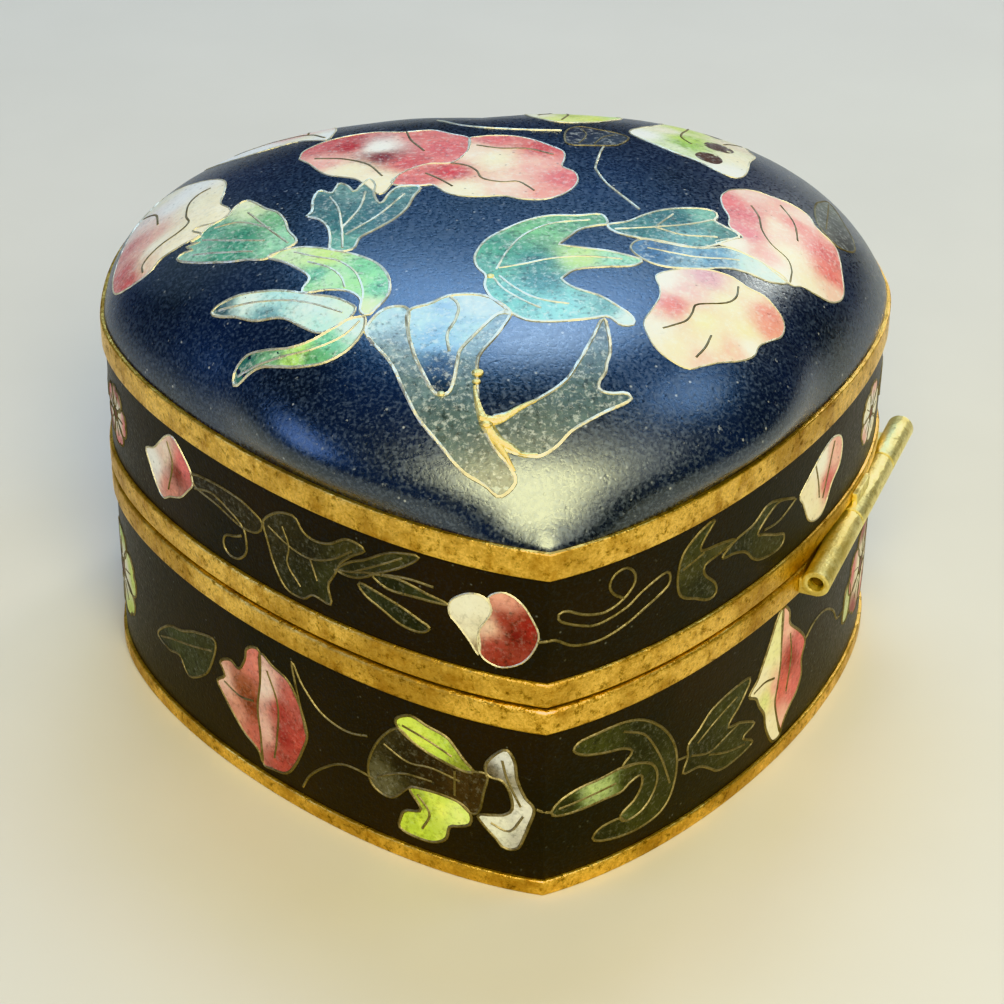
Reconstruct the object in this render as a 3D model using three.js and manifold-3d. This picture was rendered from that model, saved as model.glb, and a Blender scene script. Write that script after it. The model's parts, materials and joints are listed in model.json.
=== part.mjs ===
// Heart-shaped cloisonne trinket box: a copper cup and a domed copper lid, each dressed with
// enamel between brass bands, joined by a small three-knuckle hinge on the right-hand side.
// Millimetres, +Z up. The origin is on the underside, below the widest line; the tip points to -Y.

import * as THREE from 'three';
import { mergeVertices } from 'three/addons/utils/BufferGeometryUtils.js';
import Module from 'manifold-3d';

const wasm = await Module();
wasm.setup();

// ---------------------------------------------------------------- driving dimensions (mm)

const HALF_WIDTH = 30;          // centre line to the widest point, over the bands
const TIP_Y = -35;              // the sharp front corner
const LOBE_X = 13.8;            // crown of each back lobe
const LOBE_Y = 23.4;
const NOTCH_Y = 18.9;           // bottom of the shallow notch between the lobes

const FOOT_TOP = 1.3;           // top of the foot band, which is also the floor's thickness
const BASE_BAND_BOTTOM = 14.3;  // lower edge of the base's rim band
const BASE_TOP = 16.4;          // rim of the base
const LID_BOTTOM = 16.7;        // rim of the lid, a hair above the base
const LID_BAND_TOP = 18.7;      // upper edge of the lid's rim band
const TOP_BAND_BOTTOM = 27.2;   // lower edge of the band under the dome
const WALL_TOP = 29.4;          // where the wall ends and the dome begins
const DOME_RISE = 10.2;         // crown of the dome above the wall

const BAND_PROUD = 0.2;         // the bands stand this far out of the enamel
const ENAMEL = 0.6;             // thickness of the fired enamel
const COPPER = 0.8;             // thickness of the copper sheet
const RIM_CHAMFER = 0.3;        // the two rims meet in a small V

const ENAMEL_FACE = BAND_PROUD;            // insets from the outline, inwards
const COPPER_FACE = BAND_PROUD + ENAMEL;
const INNER_FACE = COPPER_FACE + COPPER;

// dome form: rings shrink from the heart outline to a plain oval round its crown
const CROWN = new THREE.Vector2(0, -3.6);
const OVAL = { side: 29.4, front: 30, back: 27 };
const DOME_FULLNESS = 3.5;      // how far the flat crown reaches out
const DOME_SHOULDER = 0.69;     // how steeply the edge falls
const OUTLINE_HOLD = 4;         // how soon the outline's corners die out up the dome
const DOME_RINGS = [1, 0.985, 0.95, 0.9, 0.82, 0.7, 0.52, 0.28];

// hinge
const HINGE_ANGLE = THREE.MathUtils.degToRad(62.5); // direction of the barrel in plan
const BARREL_RADIUS = 1.05;
const BORE_RADIUS = 0.58;
const PIN_RADIUS = 0.5;
const BARREL_SEAT = 0.95;       // how deep the barrel sits into the rims where it comes closest
const SEAT_CLEARANCE = 0.3;     // air round the barrel in that seat
const HINGE_Z = BASE_TOP - 0.1;
const KNUCKLES = { front: [-12.2, -3.2], middle: [-3, 5.4], back: [5.6, 11.5] };   // along the barrel
const LEAVES = { front: [-11.4, -4.2], middle: [-2.4, 0.8], back: [6.2, 10.6] };   // solder leaves
const PIN_RECESS = 0.6;         // the pin ends this far inside the barrel
const LEAF_GAP = 0.1;           // solder line between leaf and band
const LEAF_THICKNESS = 0.4;
const LEAF_REACH = { base: [-1.6, -0.3], lid: [0.6, 2] };   // heights from the axis
const ROUND_SIDES = 24;

// ---------------------------------------------------------------- materials

const finish = (color, roughness, metalness) => new THREE.MeshStandardMaterial({ color, roughness, metalness });
const brass = () => finish(0xb8862f, 0.38, 1);
const paleBrass = () => finish(0xc9b45c, 0.35, 1);
const copper = () => finish(0x8c5a35, 0.5, 1);
const domeEnamel = () => finish(0x0e1730, 0.18, 0);
const sideEnamel = () => finish(0x1c1210, 0.22, 0);

// ---------------------------------------------------------------- the heart outline

const tip = new THREE.Vector2(0, TIP_Y);
const widest = new THREE.Vector2(HALF_WIDTH, 0);
const lobe = new THREE.Vector2(LOBE_X, LOBE_Y);
const notch = new THREE.Vector2(0, NOTCH_Y);
const frontArc = new THREE.CubicBezierCurve(
  tip,
  new THREE.Vector2(0.48 * HALF_WIDTH, TIP_Y + 0.13 * -TIP_Y),
  new THREE.Vector2(HALF_WIDTH, 0.303 * TIP_Y),
  widest,
);
const sideArc = new THREE.CubicBezierCurve(
  widest,
  new THREE.Vector2(HALF_WIDTH, 0.67 * LOBE_Y),
  new THREE.Vector2(LOBE_X + 0.27 * HALF_WIDTH, LOBE_Y),
  lobe,
);
const lobeArc = new THREE.CubicBezierCurve(
  lobe,
  new THREE.Vector2(0.45 * LOBE_X, LOBE_Y),
  new THREE.Vector2(0.36 * LOBE_X, NOTCH_Y + 0.82 * (LOBE_Y - NOTCH_Y)),
  notch,
);

// one half from the tip to the notch, then its mirror image back: counter-clockwise seen from above
const half = [
  ...frontArc.getSpacedPoints(13).slice(0, -1),
  ...sideArc.getSpacedPoints(9).slice(0, -1),
  ...lobeArc.getSpacedPoints(7),
];
const mirrored = half.slice(1, -1).reverse().map((p) => new THREE.Vector2(-p.x, p.y));
const outline = [...half, ...mirrored];
const COUNT = outline.length;

const edgeNormal = (a, b) => new THREE.Vector2(b.y - a.y, a.x - b.x).normalize();

// the outline moved inwards by inset, with its corners mitred
const insetOutline = (inset) => outline.map((p, i) => {
  const before = edgeNormal(outline[(i + COUNT - 1) % COUNT], p);
  const after = edgeNormal(p, outline[(i + 1) % COUNT]);
  const mitre = before.clone().add(after).divideScalar(1 + before.dot(after));
  return p.clone().addScaledVector(mitre, -inset);
});

// ---------------------------------------------------------------- rings and lofts

// A ring is { points, reach }: COUNT points in space, and how far out they are, 0 at the crown.
const wallRing = (inset, z) => ({
  points: insetOutline(inset).map((p) => new THREE.Vector3(p.x, p.y, z)),
  reach: 1,
});

const middlePoint = (z) => ({
  points: outline.map(() => new THREE.Vector3(CROWN.x, CROWN.y, z)),
  reach: 0,
});

const ovalRadius = (direction, inset) => {
  const depth = (direction.y > 0 ? OVAL.back : OVAL.front) - inset;
  return 1 / Math.hypot(direction.x / (OVAL.side - inset), direction.y / depth);
};

const domeHeight = (reach, inset) => {
  const rise = DOME_RISE - (inset - ENAMEL_FACE);
  return WALL_TOP + rise * (1 - reach ** DOME_FULLNESS) ** DOME_SHOULDER;
};

const domeRing = (reach, inset) => {
  const hold = reach ** OUTLINE_HOLD;
  const points = insetOutline(inset).map((p) => {
    const spoke = p.clone().sub(CROWN);
    const direction = spoke.clone().normalize();
    const radius = reach * (hold * spoke.length() + (1 - hold) * ovalRadius(direction, inset));
    const at = CROWN.clone().addScaledVector(direction, radius);
    return new THREE.Vector3(at.x, at.y, domeHeight(reach, inset));
  });
  return { points, reach };
};

// rings of one dome surface, from the wall up to the crown
const domeRings = (inset) => [
  ...DOME_RINGS.map((reach) => domeRing(reach, inset)),
  middlePoint(domeHeight(0, inset)),
];

const geometryFrom = (positions) => {
  const geometry = new THREE.BufferGeometry();
  geometry.setAttribute('position', new THREE.Float32BufferAttribute(positions, 3));
  return geometry;
};

// Skins a list of rings. A quad is split the same way whichever way the rings are walked, so that
// an enamel's back and the copper under it are the same facets.
const loft = (rings, closed) => {
  const positions = [];
  const triangle = (a, b, c) => {
    if (a.equals(b) || b.equals(c) || c.equals(a)) return;
    positions.push(...a.toArray(), ...b.toArray(), ...c.toArray());
  };
  const spans = closed ? rings.length : rings.length - 1;
  for (let k = 0; k < spans; k += 1) {
    const from = rings[k];
    const to = rings[(k + 1) % rings.length];
    for (let i = 0; i < COUNT; i += 1) {
      const j = (i + 1) % COUNT;
      const [a, b, c, d] = [from.points[i], from.points[j], to.points[j], to.points[i]];
      if (from.reach < to.reach) {
        triangle(a, b, d);
        triangle(b, c, d);
      } else {
        triangle(a, b, c);
        triangle(a, c, d);
      }
    }
  }
  return geometryFrom(positions);
};

// ---------------------------------------------------------------- group and naming

const group = new THREE.Group();

const add = (name, geometry, material) => {
  geometry.computeVertexNormals();
  const mesh = new THREE.Mesh(geometry, material);
  mesh.name = name;
  group.add(mesh);
};

// ---------------------------------------------------------------- the hinge's line, and solids

const along = new THREE.Vector2(Math.cos(HINGE_ANGLE), Math.sin(HINGE_ANGLE));
const outward = new THREE.Vector2(along.y, -along.x);

// the outline's furthest point outwards is where the straight barrel passes closest to it
const nearest = outline.reduce((best, p) => (p.dot(outward) > best.dot(outward) ? p : best));
const barrelMiddle = nearest.clone().addScaledVector(outward, BARREL_RADIUS - BARREL_SEAT);

const toSolid = (geometry) => {
  const bare = geometry.clone();
  bare.deleteAttribute('normal');
  bare.deleteAttribute('uv');
  const merged = mergeVertices(bare, 1e-4);
  return new wasm.Manifold(new wasm.Mesh({
    numProp: 3,
    vertProperties: new Float32Array(merged.attributes.position.array),
    triVerts: new Uint32Array(merged.index.array),
  }));
};

const toGeometry = (solid) => {
  const mesh = solid.getMesh();
  const indexed = new THREE.BufferGeometry();
  indexed.setAttribute('position', new THREE.Float32BufferAttribute(mesh.vertProperties, 3));
  indexed.setIndex([...mesh.triVerts]);
  return indexed.toNonIndexed();
};

// a round bar on the barrel's axis, from one station to another along it
const bar = (radius, from, to) => {
  const middle = barrelMiddle.clone().addScaledVector(along, (from + to) / 2);
  return new THREE.CylinderGeometry(radius, radius, to - from, ROUND_SIDES)
    .rotateZ(HINGE_ANGLE - Math.PI / 2)
    .translate(middle.x, middle.y, HINGE_Z);
};

// the gutter that both rims are filed to, so that the barrel can sit into them
const seat = toSolid(bar(
  BARREL_RADIUS + SEAT_CLEARANCE,
  KNUCKLES.front[0] - SEAT_CLEARANCE,
  KNUCKLES.back[1] + SEAT_CLEARANCE,
));
const seated = (geometry) => toGeometry(toSolid(geometry).subtract(seat));

// ---------------------------------------------------------------- sheet metal

add('base_cup', seated(loft([
  middlePoint(0),
  wallRing(COPPER_FACE, 0),
  wallRing(COPPER_FACE, BASE_TOP),
  wallRing(INNER_FACE, BASE_TOP),
  wallRing(INNER_FACE, FOOT_TOP),
  middlePoint(FOOT_TOP),
], false)), copper());

add('lid_shell', seated(loft([
  ...domeRings(INNER_FACE).reverse(),
  wallRing(INNER_FACE, LID_BOTTOM),
  wallRing(COPPER_FACE, LID_BOTTOM),
  ...domeRings(COPPER_FACE),
], false)), copper());

// ---------------------------------------------------------------- brass bands

// a strip round the wall; a chamfer eases its outer edge where it faces the seam
const band = (bottom, top, chamferBottom = 0, chamferTop = 0) => {
  const rings = [wallRing(COPPER_FACE, bottom), wallRing(chamferBottom, bottom)];
  if (chamferBottom > 0) rings.push(wallRing(0, bottom + chamferBottom));
  if (chamferTop > 0) rings.push(wallRing(0, top - chamferTop));
  rings.push(wallRing(chamferTop, top), wallRing(COPPER_FACE, top));
  return loft(rings, true);
};

add('base_foot_band', band(0, FOOT_TOP), brass());
add('base_rim_band', seated(band(BASE_BAND_BOTTOM, BASE_TOP, 0, RIM_CHAMFER)), brass());
add('lid_rim_band', seated(band(LID_BOTTOM, LID_BAND_TOP, RIM_CHAMFER, 0)), brass());
add('lid_top_band', band(TOP_BAND_BOTTOM, WALL_TOP), brass());

// ---------------------------------------------------------------- enamel

const enamelField = (bottom, top) => loft([
  wallRing(COPPER_FACE, bottom),
  wallRing(ENAMEL_FACE, bottom),
  wallRing(ENAMEL_FACE, top),
  wallRing(COPPER_FACE, top),
], true);

add('base_side_enamel', enamelField(FOOT_TOP, BASE_BAND_BOTTOM), sideEnamel());
add('lid_side_enamel', enamelField(LID_BAND_TOP, TOP_BAND_BOTTOM), sideEnamel());
add('lid_dome_enamel', loft([
  ...domeRings(COPPER_FACE).reverse(),
  ...domeRings(ENAMEL_FACE),
], false), domeEnamel());

// ---------------------------------------------------------------- hinge

// how far the band's face lies inwards of the barrel's axis at a station along it
const faceDistance = (station) => {
  const at = barrelMiddle.clone().addScaledVector(along, station);
  let distance = Infinity;
  outline.forEach((a, i) => {
    const b = outline[(i + 1) % COUNT];
    const ua = a.clone().sub(at).dot(along);
    const ub = b.clone().sub(at).dot(along);
    if (ua * ub > 0) return;
    const crossing = a.clone().lerp(b, ua / (ua - ub));
    distance = Math.min(distance, -crossing.sub(at).dot(outward));
  });
  return distance;
};

// the leaf that runs from a knuckle to its band, its inner edge following the band's face
const leaf = ([start, end], [below, above]) => {
  const steps = 6;
  const inner = [];
  const outer = [];
  for (let k = 0; k <= steps; k += 1) {
    const station = start + ((end - start) * k) / steps;
    const face = faceDistance(station) - LEAF_GAP;
    const at = barrelMiddle.clone().addScaledVector(along, station);
    inner.push(at.clone().addScaledVector(outward, -face));
    outer.unshift(at.clone().addScaledVector(outward, Math.max(LEAF_THICKNESS - face, 0)));
  }
  const shape = new THREE.Shape([...inner, ...outer]);
  return new THREE.ExtrudeGeometry(shape, { depth: above - below, bevelEnabled: false })
    .translate(0, 0, HINGE_Z + below);
};

const knuckle = (place, reach) => {
  const [from, to] = KNUCKLES[place];
  const body = toSolid(bar(BARREL_RADIUS, from, to)).add(toSolid(leaf(LEAVES[place], reach)));
  return toGeometry(body.subtract(toSolid(bar(BORE_RADIUS, from - 1, to + 1))));
};

// the outer knuckles belong to the base, the middle one to the lid
add('hinge_knuckle_front', knuckle('front', LEAF_REACH.base), paleBrass());
add('hinge_knuckle_middle', knuckle('middle', LEAF_REACH.lid), paleBrass());
add('hinge_knuckle_back', knuckle('back', LEAF_REACH.base), paleBrass());

const pinEnds = [KNUCKLES.front[0] + PIN_RECESS, KNUCKLES.back[1] - PIN_RECESS];
add('hinge_pin', bar(PIN_RADIUS, ...pinEnds).toNonIndexed(), brass());

export default group;
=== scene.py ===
# %% [markdown]
# # A heart-shaped cloisonne box
# The real box is a copper cup and a domed copper lid. Brass strips are soldered round the edges,
# thin brass wires are bent into flowers and leaves, and coloured glass is fired between the wires and
# ground flush. This lesson dresses the imported solid model of it. The first cell loads that model as a
# fixed frame. Nothing made here may stand outside it.

# %% Load the frame
import json
import math
from functools import cache

import bmesh
import bpy
import numpy as np
from mathutils import Matrix, Vector
from mathutils.bvhtree import BVHTree
from mathutils.geometry import delaunay_2d_cdt


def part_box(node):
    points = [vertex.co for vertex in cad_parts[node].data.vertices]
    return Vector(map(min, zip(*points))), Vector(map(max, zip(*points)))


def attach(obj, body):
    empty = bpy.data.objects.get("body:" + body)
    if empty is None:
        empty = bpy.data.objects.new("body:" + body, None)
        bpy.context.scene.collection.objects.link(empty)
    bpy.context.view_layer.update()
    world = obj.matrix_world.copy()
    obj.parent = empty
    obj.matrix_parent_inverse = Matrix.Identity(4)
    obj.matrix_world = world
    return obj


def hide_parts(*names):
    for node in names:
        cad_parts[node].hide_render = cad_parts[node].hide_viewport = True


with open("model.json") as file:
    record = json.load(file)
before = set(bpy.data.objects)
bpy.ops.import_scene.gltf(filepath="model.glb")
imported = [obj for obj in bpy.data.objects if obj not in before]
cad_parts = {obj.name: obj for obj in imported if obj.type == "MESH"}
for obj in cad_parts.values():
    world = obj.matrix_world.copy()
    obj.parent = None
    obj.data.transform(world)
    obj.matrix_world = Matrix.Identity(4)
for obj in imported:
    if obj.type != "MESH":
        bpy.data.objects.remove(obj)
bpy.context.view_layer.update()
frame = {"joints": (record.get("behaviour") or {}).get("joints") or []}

# %% [markdown]
# Every length below is written in millimetres, as on a maker's drawing, and turned into Blender's
# metres at the last moment. The heights of the strips are read from the frame's own nodes, so that
# each new piece sits exactly where the solid model has it. The thicknesses are the maker's stock.

# %% Sizes from the frame
MM = 0.001
FOOT_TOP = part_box("base_foot_band")[1].z / MM
BASE_BAND_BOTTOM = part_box("base_rim_band")[0].z / MM
BASE_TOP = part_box("base_rim_band")[1].z / MM
LID_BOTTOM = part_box("lid_rim_band")[0].z / MM
LID_BAND_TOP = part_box("lid_rim_band")[1].z / MM
TOP_BAND_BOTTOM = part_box("lid_top_band")[0].z / MM
WALL_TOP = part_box("lid_top_band")[1].z / MM
DOME_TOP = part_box("lid_dome_enamel")[1].z / MM
SHEET, ENAMEL = 0.8, 0.5  # how thick the copper and the brass strip are, and the enamel on them
SHEET_INSET, DOME_INSET, GROUND_INSET = 0.8, 0.3, 0.26  # how far each face lies inside the strips' outside
HAIR = 0.02  # keeps two faces from lying in one plane
OVERLAP, DOME_SKIRT = 0.1, 0.4  # how far the walls' enamel and the dome's run in behind the strips
SOLID_INSET = 0.2  # how far inside the strips the solid model's own dome lies
print("strip heights, mm:", [round(v, 2) for v in (FOOT_TOP, BASE_BAND_BOTTOM, BASE_TOP, LID_BOTTOM,
                                                   LID_BAND_TOP, TOP_BAND_BOTTOM, WALL_TOP, DOME_TOP)])

# %% [markdown]
# The box is seen from above, about thirty-three degrees over the table, with its tip towards us.
# A long lens keeps the heart from spreading. The camera is aimed by building its three axes from the
# line of sight, then rolled by a hair.

# %% Camera
def aim_camera(place, target, lens, roll):
    bpy.ops.object.camera_add(location=Vector(place) * MM)
    camera = bpy.context.object
    camera.name = "camera"
    sight = (Vector(target) - Vector(place)).normalized()
    turn = sight.to_track_quat("-Z", "Y").to_matrix() @ Matrix.Rotation(roll, 3, "Z")
    camera.rotation_euler = turn.to_euler()
    camera.data.lens = lens
    camera.data.sensor_width = 36
    camera.data.clip_start = 0.005
    bpy.context.scene.camera = camera
    print("camera at", [round(v, 4) for v in camera.location])


aim_camera(place=(-19.1, -185.8, 133.1), target=(-0.24, -6.55, 15.0), lens=100.77, roll=0.011)

# %% [markdown]
# Materials are written as sums. `Flow` wraps one output of a node, and ordinary arithmetic on it adds
# a Math node, so a mask reads like `1 - spots * 0.4`. `Finish` makes a material, adds any other node
# through one method, and sends values to the shader's sockets. `patches` and `spots` are the two masks
# that every finish here is built from: noise cut to soft patches, and the round cells of a Voronoi.

# %% Shader arithmetic
class Flow:
    def __init__(self, tree, socket):
        self.tree, self.socket = tree, socket

    def math(self, operation, *values):
        node = self.tree.nodes.new("ShaderNodeMath")
        node.operation = operation
        for slot, value in zip(node.inputs, values):
            if isinstance(value, Flow):
                self.tree.links.new(value.socket, slot)
            else:
                slot.default_value = value
        return Flow(self.tree, node.outputs[0])

    def __add__(self, other): return self.math("ADD", self, other)
    def __sub__(self, other): return self.math("SUBTRACT", self, other)
    def __rsub__(self, other): return self.math("SUBTRACT", other, self)
    def __mul__(self, other): return self.math("MULTIPLY", self, other)


class Finish:
    def __init__(self, name):
        self.material = bpy.data.materials.new(name)
        self.material.use_nodes = True
        self.tree = self.material.node_tree
        self.shader = self.tree.nodes["Principled BSDF"]
        self.place = self.node("ShaderNodeTexCoord", output="Object")

    def node(self, kind, settings=(), inputs=(), output=0):
        node = self.tree.nodes.new(kind)
        for name, value in dict(settings).items():
            setattr(node, name, value)
        for name, value in dict(inputs).items():
            self.feed(node.inputs[name], value)
        return Flow(self.tree, node.outputs[output])

    def feed(self, slot, value):
        if isinstance(value, Flow):
            self.tree.links.new(value.socket, slot)
        elif slot.type == "RGBA":
            slot.default_value = (*value, 1)
        else:
            slot.default_value = value

    def noise(self, per_mm, detail=3, rough=0.55, stretch=None):
        where = self.place
        if stretch:
            where = self.node("ShaderNodeMapping", inputs={"Vector": where, "Scale": stretch})
        return self.node("ShaderNodeTexNoise", inputs={"Vector": where, "Scale": per_mm / MM,
                                                       "Detail": detail, "Roughness": rough})

    def between(self, value, low, high):
        """0 below `low`, 1 above `high`, and straight between."""
        return self.node("ShaderNodeMapRange", inputs={"Value": value, "From Min": low, "From Max": high})

    def patches(self, per_mm, detail, rough, low, high):
        return self.between(self.noise(per_mm, detail, rough), low, high)

    def spots(self, per_mm, edge, core):
        """Round spots, 0 outside `edge` and 1 inside `core`, both as shares of the space between spots."""
        return self.between(self.node("ShaderNodeTexVoronoi", {"feature": "F1"},
                                      {"Vector": self.place, "Scale": per_mm / MM}), edge, core)

    def blend(self, amount, first, second, how="MIX"):
        return self.node("ShaderNodeMix", {"data_type": "RGBA", "blend_type": how},
                         {0: amount, 6: first, 7: second}, output=2)

    def relief(self, height, depth_mm, strength):
        self.feed(self.shader.inputs["Normal"],
                  self.node("ShaderNodeBump", inputs={"Height": height, "Distance": depth_mm * MM,
                                                      "Strength": strength}))

    def set(self, **sockets):
        for name, value in sockets.items():
            self.feed(self.shader.inputs[name.replace("_", " ")], value)
        return self.material


def srgb(red, green, blue):
    """A colour as a painter reads it off a chart, 0 to 255, in the linear values that light uses."""
    return tuple(((c / 255 + 0.055) / 1.055) ** 2.4 if c > 10 else c / 255 / 12.92
                 for c in (red, green, blue))


print("a mid grey in light:", [round(c, 3) for c in srgb(128, 128, 128)])

# %% [markdown]
# **Brass strip.** The strips were filed and polished by hand and have aged: a warm gold with darker
# brown freckles, cloudy patches of tarnish, shallow dents and fine scratches. Noise drawn out upwards
# makes the scratches, and round noise of several sizes makes the rest. The hinge, its pin, the two kinds
# of wire and the soldered joints are the same metal, polished or aged to other tones.

# %% Brass
TARNISH = srgb(134, 128, 92)


def brass_finish(name, gold, brown, freckle, roughness):
    f = Finish(name)
    clouds = f.patches(0.16, 4, 0.6, 0.44, 0.6)
    stains = f.patches(0.6, 4, 0.7, 0.5, 0.64)
    freckles = f.patches(1.6, 4, 0.75, 0.54, 0.68) * freckle
    scratches = f.noise(2.0, 3, 0.6, stretch=(0.3, 0.3, 5))
    grain = f.noise(4.5, 2, 0.7)
    dents = f.noise(0.9, 2, 0.5)
    dark = [c * 0.3 for c in brown]
    aged = f.blend(clouds * 0.55, gold, f.blend(0.3, brown, TARNISH))
    stained = f.blend(stains * 0.75, aged, brown)
    worn = f.blend(f.between(grain, 0.35, 0.6), f.blend(0.4, aged, brown), stained)
    f.relief(scratches * 0.5 + grain * 0.8 - freckles * 0.5 + stains * 0.3 + dents * 2.2, 0.08, 0.7)
    gloss = f.between(scratches, 0.2, 0.9) * 0.15 + clouds * 0.1 + freckles * 0.12 + (roughness - 0.05)
    return f.set(Base_Color=f.blend(freckles, worn, dark), Metallic=1.0, Roughness=gloss)


BRASS = brass_finish("polished_brass_strip", srgb(255, 214, 118), srgb(156, 108, 48), 0.75, 0.34)
HINGE_BRASS = brass_finish("hinge_brass", srgb(255, 244, 176), srgb(206, 182, 104), 0.35, 0.42)
PIN_BRASS = brass_finish("hinge_pin_brass", srgb(130, 100, 62), srgb(70, 52, 34), 0.6, 0.5)
PALE_WIRE = brass_finish("pale_wire", srgb(252, 248, 222), srgb(188, 178, 144), 0.4, 0.45)
SOLDER = brass_finish("soldered_joint", srgb(255, 240, 168), srgb(222, 190, 104), 0.3, 0.42)
DULL_WIRE = brass_finish("dull_wire", srgb(164, 154, 124), srgb(98, 88, 70), 0.5, 0.55)
print("brass:", [m.name for m in (BRASS, HINGE_BRASS, PIN_BRASS, PALE_WIRE, SOLDER, DULL_WIRE)])

# %% [markdown]
# **Glass enamel.** Fired enamel is glass with gas bubbles in it. When it is ground flush, the bubbles
# open and leave tiny pits, pale where polish has dried in them. So each enamel is a glossy coloured
# surface with a thin clear coat, fine speckle, and pits in its relief. The gloss is mostly the glass's
# own, because a coat would hide the relief. The ground is one dark colour. The coloured cells take
# theirs from an attribute laid on their points, with pale streaks and flecks, and dark glass is more
# mottled than light glass.

# %% Enamel
def ground_glass(f, colour, deep):
    return f.blend(f.patches(0.09, 3, 0.5, 0.38, 0.66), colour, deep)


def cell_glass(f, grain, deep, flecks):
    """The colour laid on a cell's points, streaked and flecked with pale, and mottled where it is dark."""
    base = f.node("ShaderNodeAttribute", {"attribute_name": "glass"}, output="Color")
    run = f.blend(f.patches(0.75, 5, 0.7, 0.46, 0.66) * 0.42, base, srgb(244, 244, 232), "OVERLAY")
    warmth = f.node("ShaderNodeSeparateColor", {}, {"Color": base}, output="Red")
    mottled = f.between(grain, 0.5, 0.7) * (0.95 - warmth * 0.85)
    dim = f.blend(mottled, run, f.blend(1.0, run, deep, "MULTIPLY"))
    return f.blend(f.patches(2.6, 4, 0.75, 0.52, 0.64) * flecks, dim, f.blend(0.55, dim, srgb(232, 238, 236)))


def enamel_finish(name, deep, colour=None, *, gloss, coat, roughness=0.3, frost=0.5, flecks=0.6,
                  grind=0.03, index=1.5, tint=(1, 1, 1)):
    """Ground enamel runs from `colour` to `deep`. Without a colour, the cells' own points give it."""
    f = Finish(name)
    grain = f.noise(2.3, 3, 0.7)
    fine = f.noise(4.2, 2, 0.6)
    pits = f.spots(1.0, 0.15, 0.04)
    dust = f.patches(1.7, 2, 0.8, 0.67, 0.78)
    specks = f.spots(0.8, 0.1, 0.03)
    glass = ground_glass(f, colour, deep) if colour else cell_glass(f, grain, deep, flecks)
    frosted = f.blend(f.between(fine, 0.48, 0.64) * frost, glass, f.blend(0.34, glass, srgb(116, 130, 156)))
    dusty = f.blend(dust * 0.5 * frost + specks * 0.9 * frost, frosted, srgb(196, 202, 208))
    pitted = f.blend(pits * 0.55, dusty, [c * 0.2 for c in deep])
    f.relief(grain * 0.6 + fine * 0.8 - pits * 0.5, grind, 0.9)
    return f.set(Base_Color=pitted, Roughness=grain * 0.2 + fine * 0.3 + dust * 0.15 + (roughness - 0.25),
                 Specular_IOR_Level=gloss, Coat_Weight=coat, Coat_Roughness=0.2, IOR=index,
                 Specular_Tint=tint)


NAVY = enamel_finish("navy_enamel", srgb(13, 14, 26), srgb(14, 22, 52), gloss=1.0, coat=0.1, frost=0.6,
                     grind=0.02, index=1.6, tint=(0.8, 0.92, 1.0))
BROWN = enamel_finish("brown_black_enamel", srgb(12, 8, 7), srgb(24, 14, 10), roughness=0.4, gloss=0.22,
                      coat=0.04, frost=0.16)
CELLS = enamel_finish("coloured_enamel", srgb(124, 130, 130), roughness=0.36, gloss=0.7, coat=0.1, frost=0.2)
WALL_CELLS = enamel_finish("wall_coloured_enamel", srgb(132, 134, 132), flecks=0.14, roughness=0.42,
                           gloss=0.25, coat=0.04, frost=0.08)
LINING = enamel_finish("lining_enamel", srgb(12, 30, 62), srgb(26, 58, 104), roughness=0.32, gloss=0.4,
                       coat=0.2)
print("enamels:", [m.name for m in (NAVY, BROWN, CELLS, WALL_CELLS, LINING)])

# %% [markdown]
# **The heart.** A maker scribes the outline once and cuts every strip to it. Here it is a closed
# Bezier curve of six points: the tip, the widest points, the crowns of the lobes and the shallow notch.
# A Bezier circle starts it, two points are added, and each handle is set so that only the tip and the
# notch are corners.

# %% Outline curve
def clear_selection():
    if bpy.context.object and bpy.context.object.mode != "OBJECT":
        finish_edit()
    bpy.ops.object.select_all(action="DESELECT")


def finish_edit():
    bpy.ops.object.mode_set(mode="OBJECT")


def pick(*pieces):
    clear_selection()
    for piece in pieces:
        piece.select_set(True)
    bpy.context.view_layer.objects.active = pieces[0]


HEART = [  # point, the handle before it, the handle after it
    ((0, -35), (-14.4, -30.45), (14.4, -30.45)),
    ((30, 0), (30, -10.605), (30, 15.678)),
    ((13.8, 23.4), (21.9, 23.4), (6.21, 23.4)),
    ((0, 18.9), (4.968, 22.59), (-4.968, 22.59)),
    ((-13.8, 23.4), (-6.21, 23.4), (-21.9, 23.4)),
    ((-30, 0), (-30, 15.678), (-30, -10.605)),
]
STEPS_A_SPAN = 44
clear_selection()
bpy.ops.curve.primitive_bezier_circle_add(radius=30 * MM, location=(0, 0, 0))
scribed = bpy.context.object
scribed.name = "scribed_heart"
spline = scribed.data.splines[0]
spline.bezier_points.add(2)
for knot, (point, before, after) in zip(spline.bezier_points, HEART):
    knot.handle_left_type = knot.handle_right_type = "FREE"
    knot.co = Vector((*point, 0)) * MM
    knot.handle_left = Vector((*before, 0)) * MM
    knot.handle_right = Vector((*after, 0)) * MM
scribed.data.resolution_u = STEPS_A_SPAN
bpy.ops.object.convert(target="MESH")
OUTLINE = np.array([v.co[:2] for v in scribed.data.vertices]) / MM
print("outline points:", len(OUTLINE), "from", OUTLINE.min(0).round(2), "to", OUTLINE.max(0).round(2))

# %% [markdown]
# Every upright piece starts as a flat heart cut from that outline and moved to its height. `heart_plate`
# copies the outline, fills it, and, where the piece is set back behind the strips, insets the face and
# throws the rim away, as a maker would trim a blank.

# %% Flat hearts
def edit(piece, mode="FACE"):
    pick(piece)
    bpy.ops.object.mode_set(mode="EDIT")
    bpy.ops.mesh.select_mode(type=mode)
    bpy.ops.mesh.select_all(action="SELECT")


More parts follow.
